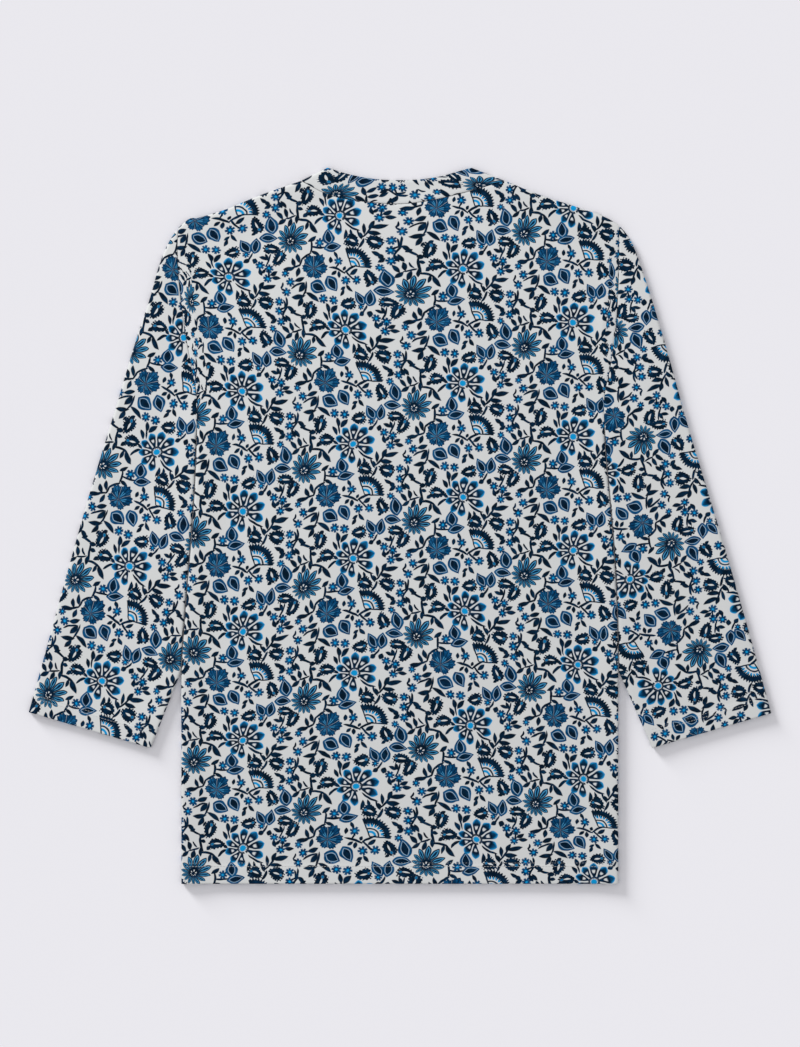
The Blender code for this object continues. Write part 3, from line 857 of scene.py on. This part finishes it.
def knit():
    """Node group: the height of fine jersey, ribs along the cloth crossed by its rows of loops."""
    tree, start, end = new_group("fine_jersey", {"Place": "Vector"}, {"Height": "Float"})
    place = Field(tree, start.outputs["Place"])
    rib = place.dot((2 * np.pi / RIB_PITCH, 0.0, 0.0)).math("SINE")
    row = place.dot((0.0, 2 * np.pi / LOOP_PITCH, 0.0)).math("SINE")
    loose = noise(tree, place.socket, 400.0)
    height = (rib * row).times_plus(0.2, rib * 0.3) + loose
    tree.links.new(height.socket, end.inputs["Height"])
    return tree


def used_group(tree, group, place, **values):
    """A node that uses a group at a place, with these values."""
    node = tree.nodes.new("ShaderNodeGroup")
    node.node_tree = group
    tree.links.new(place, node.inputs["Place"])
    for name, value in values.items():
        node.inputs[name].default_value = value
    return node


def new_material(name, finish):
    """A material whose shader has the finish's values, with its node tree and its shader."""
    material = bpy.data.materials.new(name)
    material.use_nodes = True
    shader = material.node_tree.nodes["Principled BSDF"]
    for socket, value in finish.items():
        shader.inputs[socket].default_value = value
    return material, material.node_tree, shader


def cloth_material(name, print_group, knit_group, strength):
    """Printed jersey: the print's colour, rougher where there is no ink, with the knit as bump."""
    material, tree, shader = new_material(name, {"Specular IOR Level": 0.04})
    uv = tree.nodes.new("ShaderNodeUVMap")
    uv.uv_map = "print"
    printed = used_group(tree, print_group, uv.outputs[0], Strength=strength)
    knitted = used_group(tree, knit_group, uv.outputs[0])
    tree.links.new(printed.outputs["Colour"], shader.inputs["Base Color"])
    roughness = Field(tree, printed.outputs["Ink"]).times_plus(-0.1, 0.88)
    tree.links.new(roughness.socket, shader.inputs["Roughness"])
    relief = tree.nodes.new("ShaderNodeBump")
    relief.inputs["Strength"].default_value = 0.25
    relief.inputs["Distance"].default_value = 0.0002
    tree.links.new(knitted.outputs["Height"], relief.inputs["Height"])
    tree.links.new(relief.outputs["Normal"], shader.inputs["Normal"])
    return material


def thread_material():
    """Matt ecru thread, its shade uneven along its length."""
    material, tree, shader = new_material("ecru_thread", {"Roughness": 0.6})
    coordinates = tree.nodes.new("ShaderNodeTexCoord")
    uneven = noise(tree, coordinates.outputs["Object"], 900.0)
    shade = mix(tree, uneven, *THREAD_SHADES)
    tree.links.new(shade.socket, shader.inputs["Base Color"])
    return material


# ---------------------------------------------------------------- places in the print

DAISY_ON_BODY = np.array((-46.0, 80.0))
DAISY_ON_FRONT = DAISY_ON_BODY + (30.0, 20.0)
# A daisy on each sleeve, degrees from upright, clockwise, and the print's length over the cloth's
SLEEVE_PRINTS = {
    -1: ((-238.0, 72.0), 13.4, 0.97),
    1: ((225.3, -52.1), 165.2, 1.035),
}
COLLAR_MIDDLE = (-45.9, 25.9)  # the print, cut crosswise, at the middle of the collar's seam
COLLAR_STRETCH = 0.9
# Where the cloth was pulled when laid down: x, y, reach along both axes, and how far across and up
PULLS = (
    (-201.0, 292.0, 50.0, 40.0, -8.0, -6.0),
    (190.0, -350.0, 60.0, 45.0, 5.5, 11.0),
    (-160.0, -105.0, 70.0, 150.0, 0.0, -12.8),
)


def print_places(points, daisy, clockwise=0.0, stretch=1.0):
    """Places in the print of points in the plane, from a daisy and along the cloth's grain."""
    c, s = np.cos(np.radians(clockwise)), np.sin(np.radians(clockwise))
    return (points - daisy) @ np.array(((c, s), (-s, c))) * (1.0, stretch)


def sideways(shift):
    """Shifts in the plane that run across the garment alone."""
    return np.stack([shift, np.zeros_like(shift)], axis=-1)


def drift(points):
    """How far the body's print lies off its even rows: two slow slants, and the pulls' domes."""
    x, y = points[..., 0], points[..., 1]
    across = 0.05 * np.maximum(-y - 50, 0) * eased((x + 100) / 170)
    across -= 13.0 * eased((y - 110) / 150) * eased((40 - x) / 80)
    off = sideways(across)
    for x, y, reach_x, reach_y, *pull in PULLS:
        off += dome(points, (x, y), (reach_x, reach_y))[..., None] * pull
    return off


def tucks(points):
    """For each tuck: its side, how far each point lies from its inner edge, its share and its fold.

    Points outside that edge have a distance below nothing. The share is 1 where the tuck is full,
    fading out towards its two ends.
    """
    levels = points[..., 1]
    for side, (width, low, high, hides) in TUCKS.items():
        share = eased((levels - low) / TUCK_FADES[0]) * eased((high - levels) / TUCK_FADES[1])
        yield side, distance(points, ARMHOLE_LINES[side]) - width, share, hides


def tuck(points):
    """How much further outward the print has run beside the armholes, where the cloth dips."""
    shifts = (s * TUCKED * np.maximum(-off, 0) * share for s, off, share, _ in tucks(points))
    return sideways(sum(shifts))


def hidden_folds(points):
    """What the fold at a tuck's inner edge hides of the print, for points outside that edge."""
    shifts = (s * hides * (off < 0) * share for s, off, share, hides in tucks(points))
    return sideways(sum(shifts))


def tuck_ditch(points):
    """How far the cloth sinks along the fold at a tuck's inner edge."""
    return FOLD_DITCH * sum(share * bell(off / FOLD_DITCH_REACH) for _, off, share, _ in tucks(points))


# ---------------------------------------------------------------- the pieces


def shell(name, points, faces, walls, places, materials, joined=None):
    """A piece of cloth: a surface that faces out, with Solidify's wall turned inwards from it.

    walls gives the wall's thickness for each row of points. joined gives each point's number, or
    that of the point that takes its place where a seam closes. places holds the corners' places.
    """
    thickest = float(np.max(walls))
    shares = np.broadcast_to((np.asarray(walls) / thickest)[:, None], points.shape[:2]).reshape(-1)
    points = points.reshape(-1, 3)
    if joined is not None:
        kept, faces = np.unique(joined[faces], return_inverse=True)
        faces = faces.reshape(-1, 4)
        points, shares = points[kept], shares[kept]
    piece = mesh_object(name, points, faces, materials[0], places)
    piece.data.materials.append(materials[1])
    group = piece.vertex_groups.new(name="wall")
    for share in np.unique(shares):
        group.add(np.nonzero(shares == share)[0].tolist(), float(share), "REPLACE")
    wall = piece.modifiers.new("wall", "SOLIDIFY")
    wall.thickness = thickest * MM
    wall.offset = -1
    wall.vertex_group = group.name
    wall.material_offset = 1
    return piece


def panel_plan(neck, slit):
    """A body panel's points in the plane, in rows from the hem to the shoulders.

    Each row runs from the left edge to the right one. Above the underarm the rows bend, little by
    little, until the last one follows the shoulder seams and the neckline.
    """
    turn = TURN_STEPS
    hem = HEM_LEVEL + HEM_STEPS
    tips = [SHOULDERS[side][0, 1] for side in SIDES]
    rise = steps(0, 1, ROW_STEP / (tips[0] - UNDERARM))[1:]
    below = steps(hem[-1], UNDERARM, ROW_STEP)[1:]
    edges = []
    for side, tip in zip(SIDES, tips):
        above = UNDERARM + rise * (tip - turn[-1] - UNDERARM)
        edges.append(body_edge(np.concatenate([hem, below, above, (tip - turn[::-1])[1:]]), side))
    left, right = edges
    left_x, width = left[-1, 0], right[-1, 0] - left[-1, 0]

    neck_line = along(neck, steps(0, 1, COLUMN_STEP / length_of(neck)))
    shift = np.zeros(len(neck_line))
    if slit:
        middle = len(neck_line) // 2
        neck_line = np.insert(neck_line, middle, neck_line[middle], axis=0)
        shift = np.insert(shift, middle, 0)
        shift[middle : middle + 2] = (-SEAM_GAP, SEAM_GAP)
    neck_at = (neck_line[:, 0] - left_x) / width
    to_neck = steps(turn[-1] / width, neck_at[0], COLUMN_STEP / width)[1:-1]
    from_neck = steps(neck_at[-1], 1 - turn[-1] / width, COLUMN_STEP / width)[1:-1]
    share = np.concatenate([turn / width, to_neck, neck_at, from_neck, 1 - turn[::-1] / width])
    before, after = len(turn) + len(to_neck), len(turn) + len(from_neck)
    shift = np.concatenate([np.zeros(before), shift, np.zeros(after)])
    x = left_x + share * width
    left_top, right_top = smooth(x[:before], SHOULDERS[-1]), smooth(x[-after:], SHOULDERS[1])
    top = np.concatenate([left_top, neck_line[:, 1], right_top])

    x = left[:, :1] + share * (right[:, :1] - left[:, :1]) + shift
    edge = left[:, 1:] + share * (right[:, 1:] - left[:, 1:])
    under_tip = edge[-1] - edge
    bend = np.clip((edge - UNDERARM) / (edge[-1] - turn[-1] - UNDERARM), 0, 1)
    y = np.where(under_tip <= turn[-1] + 0.001, top - under_tip, edge + (top - edge[-1]) * bend)
    return np.stack([x, y], axis=-1), before + len(neck_line) // 2 - 1


def back_height(points):
    """The back's outer side: over the front, sunk at its seams, with the folds of its table."""
    depth = folded_depth(points)
    x, y = points[..., 0], points[..., 1]
    wall = hem_walls(y - HEM_LEVEL, HEM_DEPTH)
    z = upper_height(depth, SEAM_LEVEL + SEAM_HALF_GAP, BODY_CREST, 2 * wall + LAYER_GAP)
    sunk = neck_sag(points) + tuck_ditch(points) + seam_relief(points, BACK_NECK_LINE, x)
    for line in ARMHOLE_LINES.values():
        sunk += seam_relief(points, line, y)
    return z + (folds(points, BACK_FOLDS) - sunk) * turned(depth) - hem_roll(y - HEM_LEVEL)


def front_height(points):
    """The front's outer side, underneath: flat but for soft hollows, its edges turned up."""
    depth = folded_depth(points)
    flat = lower_height(depth, SEAM_LEVEL - SEAM_HALF_GAP)
    return flat + folds(points, FRONT_FOLDS) * turned(depth)


def make_back(materials):
    """The back panel, whose print jumps sideways at the folds that hide some of it."""
    plan, _ = panel_plan(BACK_NECK, slit=False)
    walls = hem_walls(plan[:, 0, 1] - HEM_LEVEL, HEM_DEPTH)
    faces = grid_faces(*plan.shape[:2])
    places = print_places(plan, DAISY_ON_BODY) - drift(plan) + tuck(plan)
    corners = plan.reshape(-1, 2)[faces]
    places = places.reshape(-1, 2)[faces] + hidden_folds(corners.mean(axis=1))[:, None]
    return shell("back_cloth", lifted(plan, back_height(plan)), faces, walls, places, materials)


def make_front(materials):
    """The front panel, with no faces between the two columns of its slit."""
    plan, middle = panel_plan(FRONT_NECK, slit=True)
    rows, columns = plan.shape[:2]
    faces = grid_faces(rows, columns).reshape(rows - 1, columns - 1, 4)
    open_from = FRONT_NECK[len(FRONT_NECK) // 2, 1] - SLIT_DEPTH
    open_cells = np.zeros((rows - 1, columns - 1), bool)
    open_cells[:, middle] = plan[:-1, middle, 1] > open_from
    faces = faces[~open_cells][:, ::-1]
    walls = hem_walls(plan[:, 0, 1] - HEM_LEVEL, HEM_DEPTH)
    places = print_places(plan * (-1, 1), DAISY_ON_FRONT).reshape(-1, 2)[faces]
    return shell("front_cloth", lifted(plan, front_height(plan)), faces, walls, places, materials)


def sleeve_lines(side):
    """A sleeve's inner and outer boundary points, in rows from the shoulder tip to the cuff."""
    corner, tip = CUFF_CORNERS[side], SHOULDERS[side][0, 1]
    armhole = body_edge(steps(tip - TIP_GAP, UNDERARM, ROW_STEP), side) + (side * SEAM_GAP, 0)
    levels = steps(UNDERARM - UNDERARM_GAP, SLEEVE_LEAVES, ROW_STEP)
    beside = body_edge(levels, side) + (side * SIDE_GAP, 0)
    to_corner = beside[-1] - corner
    length = np.linalg.norm(to_corner)
    hem = HEM_STEPS[::-1]
    from_corner = np.concatenate([steps(length, hem[0], ROW_STEP)[1:-1], hem])
    free = corner + from_corner[:, None] * to_corner / length
    inner = np.concatenate([armhole, beside, free])

    run = run_along(inner)
    outer = along(OUTER_FOLDS[side], (run + TIP_GAP) / (run[-1] + TIP_GAP))
    up_arm = np.array((side * (corner[1] - outer[-1, 1]), side * (outer[-1, 0] - corner[0])))
    outer[-len(hem) :] = outer[-1] + hem[:, None] * up_arm / np.linalg.norm(up_arm)
    return inner, outer, len(armhole)


def sleeve_shares(width):
    """Each column's share of the way across, row by row, close together at both folds."""
    turn = TURN_STEPS
    count = int(round(SLEEVE_SPAN / COLUMN_STEP))
    between = turn[-1] + np.linspace(0, 1, count + 2)[1:-1] * (width - 2 * turn[-1])
    near_inner = np.broadcast_to(turn, (len(width), len(turn)))
    from_folds = np.concatenate([near_inner, between, width - turn[::-1]], axis=1)
    even = np.linspace(0, 1, from_folds.shape[1]) * width
    return (even + (from_folds - even) * eased((width - EVEN_WIDTH) / EVEN_EASE)) / width


def sleeve_heights(points, side):
    """Outer sides of a sleeve's upper and lower layer, then the wall, at these points."""
    inner, outer, open_rows = sleeve_lines(side)
    depth = np.minimum(distance(points, outer), distance(points, inner[open_rows - 1 :]))
    cuff = (outer[-1] - inner[-1]) / np.linalg.norm(outer[-1] - inner[-1])
    off = points - inner[-1]
    above_cuff = np.abs(cuff[0] * off[..., 1] - cuff[1] * off[..., 0])
    wall = hem_walls(above_cuff, CUFF_DEPTH)
    hollows = folds(points, SLEEVE_FOLDS[side])
    sunk = seam_relief(points, ARMHOLE_LINES[side], points[..., 1])
    upper = upper_height(depth, SLEEVE_CREST / 2, SLEEVE_CREST, 2 * wall + LAYER_GAP)
    upper += (hollows - sunk) * turned(depth) - hem_roll(above_cuff)
    lower = lower_height(depth, SLEEVE_CREST / 2) + UNDER_SHARE * hollows * turned(depth)
    return upper, lower, wall


def make_sleeve(side, name, materials):
    """A set-in sleeve, pressed flat: a tube that is open along the armhole and at the cuff.

    A ring of points runs across its upper layer from the inner fold and back across the lower one.
    """
    inner, outer, open_rows = sleeve_lines(side)
    width = np.linalg.norm(outer - inner, axis=1)[:, None]
    plan = inner[:, None] + sleeve_shares(width)[..., None] * (outer - inner)[:, None]
    rows, columns = plan.shape[:2]
    upper, lower, wall = sleeve_heights(plan, side)
    upper[:, -1] = SLEEVE_CREST / 2
    upper[open_rows - 1 :, 0] = SLEEVE_CREST / 2
    points = np.concatenate([lifted(plan, upper), lifted(plan, lower)[:, -2::-1]], axis=1)
    places = print_places(plan, *SLEEVE_PRINTS[side])
    places = np.concatenate([places, 2 * places[:, -1:] - places[:, -2::-1]], axis=1)

    ring = 2 * columns - 1
    faces = grid_faces(rows, ring)
    if side > 0:
        faces = faces[:, ::-1]
    joined = np.arange(rows * ring).reshape(rows, ring)
    joined[open_rows - 1 :, -1] = joined[open_rows - 1 :, 0]
    places = places.reshape(-1, 2)[faces]
    return shell(name, points, faces, wall.mean(axis=1), places, materials, joined.reshape(-1))


def collar_half(seam_line, free_line):
    """Plan of one half of the collar's ring between its two folds: its columns cross the band."""
    length = length_of(seam_line)
    near = TURN_STEPS / length
    between = steps(near[-1], 1 - near[-1], COLLAR_STEP / length)[1:-1]
    share = np.concatenate([near, between, 1 - near[::-1]])
    seam, free = along(seam_line, share), along(free_line, share)
    from_corner = np.minimum(share, 1 - share) * length
    gap = SEAM_GAP + CORNER_GAP * bell(from_corner / CORNER_REACH)
    across = free - seam
    seam += across * (gap / np.linalg.norm(across, axis=1))[:, None]
    rows = np.concatenate([[0.0, 0.03, 0.08], np.linspace(0.14, 0.92, 9), [0.97, 0.99, 1.0]])
    return seam + rows[:, None, None] * (free - seam), rows


def make_collar(materials):
    """The mandarin band: one strip, pressed flat as a ring, whose ends meet at the centre front."""
    back, rows = collar_half(BACK_NECK, BACK_BAND)
    front, _ = collar_half(FRONT_NECK, FRONT_BAND)
    middle = front.shape[1] // 2
    left_end, right_end = (front[:, middle : middle + 1] + (side * SEAM_GAP, 0) for side in SIDES)
    from_left, to_right = front[:, middle - 1 : 0 : -1], front[:, -2:middle:-1]
    plan = np.concatenate([left_end, from_left, back, to_right, right_end], axis=1)
    folds_at = [middle, middle + back.shape[1] - 1]
    depth = np.minimum.reduce([distance(plan, plan[:, k]) for k in folds_at])
    depth[:, folds_at] = 0
    seam = COLLAR_CREST / 2
    upper = upper_height(depth, seam, COLLAR_CREST, 2 * COLLAR_WALL + LAYER_GAP)
    from_edges = np.minimum(rows, 1 - rows)[:, None] * COLLAR_HEIGHT
    upper -= (neck_sag(plan) + DITCH * bell(from_edges / DITCH_REACH)) * turned(depth)
    column = np.arange(plan.shape[1])
    above = (column >= folds_at[0]) & (column <= folds_at[1])
    z = np.where(above, upper, lower_height(depth, seam))
    run = run_along(plan.mean(0))
    along_strip = (run - run[len(run) // 2]) * COLLAR_STRETCH
    strip = np.broadcast_arrays(-rows[:, None] * COLLAR_HEIGHT, along_strip)
    places = np.stack(strip, axis=-1) + COLLAR_MIDDLE
    walls = np.full(len(rows), COLLAR_WALL)
    faces = grid_faces(*z.shape)
    places = places.reshape(-1, 2)[faces]
    return shell("collar_cloth", lifted(plan, z), faces, walls, places, materials)


# ---------------------------------------------------------------- sewing

HEM_STITCHES = (-333.0, -329.6)  # levels of the two rows
CUFF_STITCHES = (14.6, 17.6)  # their distances from the cuff's edge
STITCH_LENGTH = 2.3
STITCH_PITCH = 3.0
STITCH_MARGIN = 4.0  # from a folded edge to the end of a row
LINE_STEP = 2.0
THREAD = 0.2
RAISED = -0.04  # from the outer side of an upper layer to the middle of the thread, half sunk in it
SUNK = THREAD - 0.05  # the same on a lower layer, whose outer side is underneath


def stitch_points(line):
    """Middles of the stitches along a line and the directions they run in."""
    run = run_along(line)
    at = np.arange(STITCH_PITCH / 2, run[-1], STITCH_PITCH)
    start, end = (
        np.stack([np.interp(at + half, run, values) for values in line.T], axis=-1)
        for half in (-STITCH_LENGTH / 2, STITCH_LENGTH / 2)
    )
    return (start + end) / 2, end - start


def stitching(name, lines, material):
    """Rows of stitches: each a short spindle of thread, thickest in its middle, closed at its ends.

    A spindle has rings of six points round its line whose radius is the root of one less the
    square of the share along it.
    """
    middles, runs = (np.concatenate(part) for part in zip(*(stitch_points(line) for line in lines)))
    share = np.array((-1.0, -0.7, 0.0, 0.7, 1.0))
    radius = THREAD * np.sqrt(1 - (0.96 * share) ** 2)
    turn = np.linspace(0, 2 * np.pi, 6, endpoint=False)
    up = np.array((0.0, 0.0, 1.0))
    side = np.cross(up, runs)
    side /= np.linalg.norm(side, axis=1)[:, None]
    round_it = np.cos(turn)[:, None] * side[:, None, None] + np.sin(turn)[:, None] * up
    centres = middles[:, None, None] + 0.5 * share[:, None, None] * runs[:, None, None]
    rings = centres + radius[:, None, None] * round_it

    count, circle = len(share), len(turn)
    ring = np.arange(count - 1)[:, None] * circle
    step = np.arange(circle)
    after = (step + 1) % circle
    corners = ring + step, ring + after, ring + circle + after, ring + circle + step
    quads = np.stack(corners, axis=-1).reshape(-1, 4)
    caps = np.concatenate([step[::-1][None], (count - 1) * circle + step[None]])
    each = np.arange(len(middles))[:, None, None] * count * circle
    faces = (each + quads).reshape(-1, 4).tolist() + (each + caps).reshape(-1, circle).tolist()
    return mesh_object(name, rings, faces, material)


def hem_lines(height, rise):
    """Lines across a body panel, two rows, a little above or below its outer side."""
    lines = []
    for level in HEM_STITCHES:
        left, right = (body_edge(np.array((level,)), side)[0, 0] for side in SIDES)
        x = steps(left + STITCH_MARGIN, right - STITCH_MARGIN, LINE_STEP)
        plan = np.column_stack([x, np.full(len(x), level)])
        lines.append(lifted(plan, height(plan) + rise))
    return lines


def cuff_lines(side):
    """Lines round a cuff, two rows: each over its upper layer and under its lower one."""
    inner, outer, _ = sleeve_lines(side)
    along_cuff = outer[-1] - inner[-1]
    width = np.linalg.norm(along_cuff)
    up_arm = side * np.array((-along_cuff[1], along_cuff[0])) / width
    margin = STITCH_MARGIN / width
    lines = []
    for level in CUFF_STITCHES:
        shares = steps(margin, 1 - margin, LINE_STEP / width)[:, None]
        plan = inner[-1] + up_arm * level + shares * along_cuff
        upper, lower, _ = sleeve_heights(plan, side)
        lines += [lifted(plan, upper + RAISED), lifted(plan, lower + SUNK)]
    return lines


# ---------------------------------------------------------------- floor, light and camera

FLOOR_REACH = 6000.0
FLOOR_LEVEL = -0.05
FLOOR_COLOUR = (0.788, 0.779, 0.81, 1.0)
SUN_FROM_LEFT = 40.0  # degrees from straight beyond the collar towards the left, for both lamps
FLOOR_SUN = (13.0, 18.0, 4.9)  # degrees over the floor, degrees across, strength
CLOTH_WINDOW = (31.0, 2.0, 80.0)  # degrees over the floor, metres across, watts
LAMP_AWAY = 3.2
STUDIO_COLOUR = (1.0, 1.0, 1.02, 1.0)
STUDIO_STRENGTH = 0.69
CAMERA_PLACE = (0.00024, 0.0022, 3.5)  # metres, straight above the garment
CAMERA_SENSOR = 24.0
PICTURE_HEIGHT = 1.0243  # metres of the floor that the picture is high
CAMERA_SEES_TO = 50.0


def make_floor():
    """A wide flat square just under the garment, matt and pale."""
    signs = np.array([(-1, -1, 0), (1, -1, 0), (-1, 1, 0), (1, 1, 0)])
    points = signs * FLOOR_REACH + (0, 0, FLOOR_LEVEL)
    finish = {"Base Color": FLOOR_COLOUR, "Roughness": 1.0, "Specular IOR Level": 0.0}
    material, _, _ = new_material("pale_floor", finish)
    floor = mesh_object("floor", points, np.array([(0, 1, 3, 2)]), material)
    return floor


def place_lamp(name, lamp, height, lit):
    """Turn a lamp beyond the collar's left side to the origin; it lights these objects alone."""
    tilt, turn = np.radians((90 - height, 180 + SUN_FROM_LEFT))
    lamp_object = bpy.data.objects.new(name, lamp)
    lamp_object.rotation_euler = (tilt, 0.0, turn)
    aim = (np.sin(turn) * np.sin(tilt), -np.cos(turn) * np.sin(tilt), np.cos(tilt))
    lamp_object.location = np.array(aim) * LAMP_AWAY
    lamp_object.visible_camera = False
    bpy.context.scene.collection.objects.link(lamp_object)
    receivers = bpy.data.collections.new(name)
    for lit_object in lit:
        receivers.objects.link(lit_object)
    lamp_object.light_linking.receiver_collection = receivers


def make_lamps(floor, pieces):
    """A low soft sun for the floor, and a broad window for the cloth, nearer to the collar."""
    height, across, strength = FLOOR_SUN
    sun = bpy.data.lights.new("floor_sun", "SUN")
    sun.energy = strength
    sun.angle = np.radians(across)
    place_lamp("floor_sun", sun, height, [floor])
    height, across, watts = CLOTH_WINDOW
    window = bpy.data.lights.new("cloth_window", "AREA")
    window.shape = "DISK"
    window.size = across
    window.energy = watts
    place_lamp("cloth_window", window, height, pieces)


def make_surroundings_and_camera():
    """Even white surroundings, and a camera straight above the garment."""
    scene = bpy.context.scene
    scene.view_settings.view_transform = "Standard"
    world = bpy.data.worlds.new("studio")
    world.use_nodes = True
    surroundings = world.node_tree.nodes["Background"].inputs
    surroundings["Color"].default_value = STUDIO_COLOUR
    surroundings["Strength"].default_value = STUDIO_STRENGTH
    scene.world = world
    camera = bpy.data.cameras.new("camera")
    camera.sensor_fit = "VERTICAL"
    camera.sensor_height = CAMERA_SENSOR
    camera.lens = CAMERA_SENSOR * CAMERA_PLACE[2] / PICTURE_HEIGHT
    camera.clip_end = CAMERA_SEES_TO
    camera_object = bpy.data.objects.new("camera", camera)
    camera_object.location = CAMERA_PLACE
    scene.collection.objects.link(camera_object)
    scene.camera = camera_object


# ---------------------------------------------------------------- putting it together

print_group, knit_group = garden_print(), knit()
materials = (
    cloth_material("indigo_print", print_group, knit_group, 1.0),
    cloth_material("indigo_print_inside", print_group, knit_group, 0.35),
)
thread = thread_material()

back = make_back(materials)
front = make_front(materials)
sleeve_left = make_sleeve(-1, "sleeve_left_cloth", materials)
sleeve_right = make_sleeve(1, "sleeve_right_cloth", materials)
collar = make_collar(materials)
cloths = {
    "back": back,
    "front": front,
    "sleeve_left": sleeve_left,
    "sleeve_right": sleeve_right,
    "collar": collar,
}
back_hem = stitching("back_hem_stitches", hem_lines(back_height, RAISED), thread)
front_hem = stitching("front_hem_stitches", hem_lines(front_height, SUNK), thread)
left_cuff = stitching("left_cuff_stitches", cuff_lines(-1), thread)
right_cuff = stitching("right_cuff_stitches", cuff_lines(1), thread)

for node, piece in cloths.items():
    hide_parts(node)
pieces = [*cloths.values(), back_hem, front_hem, left_cuff, right_cuff]
for piece in pieces:
    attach(piece, "root")

floor = make_floor()
make_lamps(floor, pieces)
make_surroundings_and_camera()
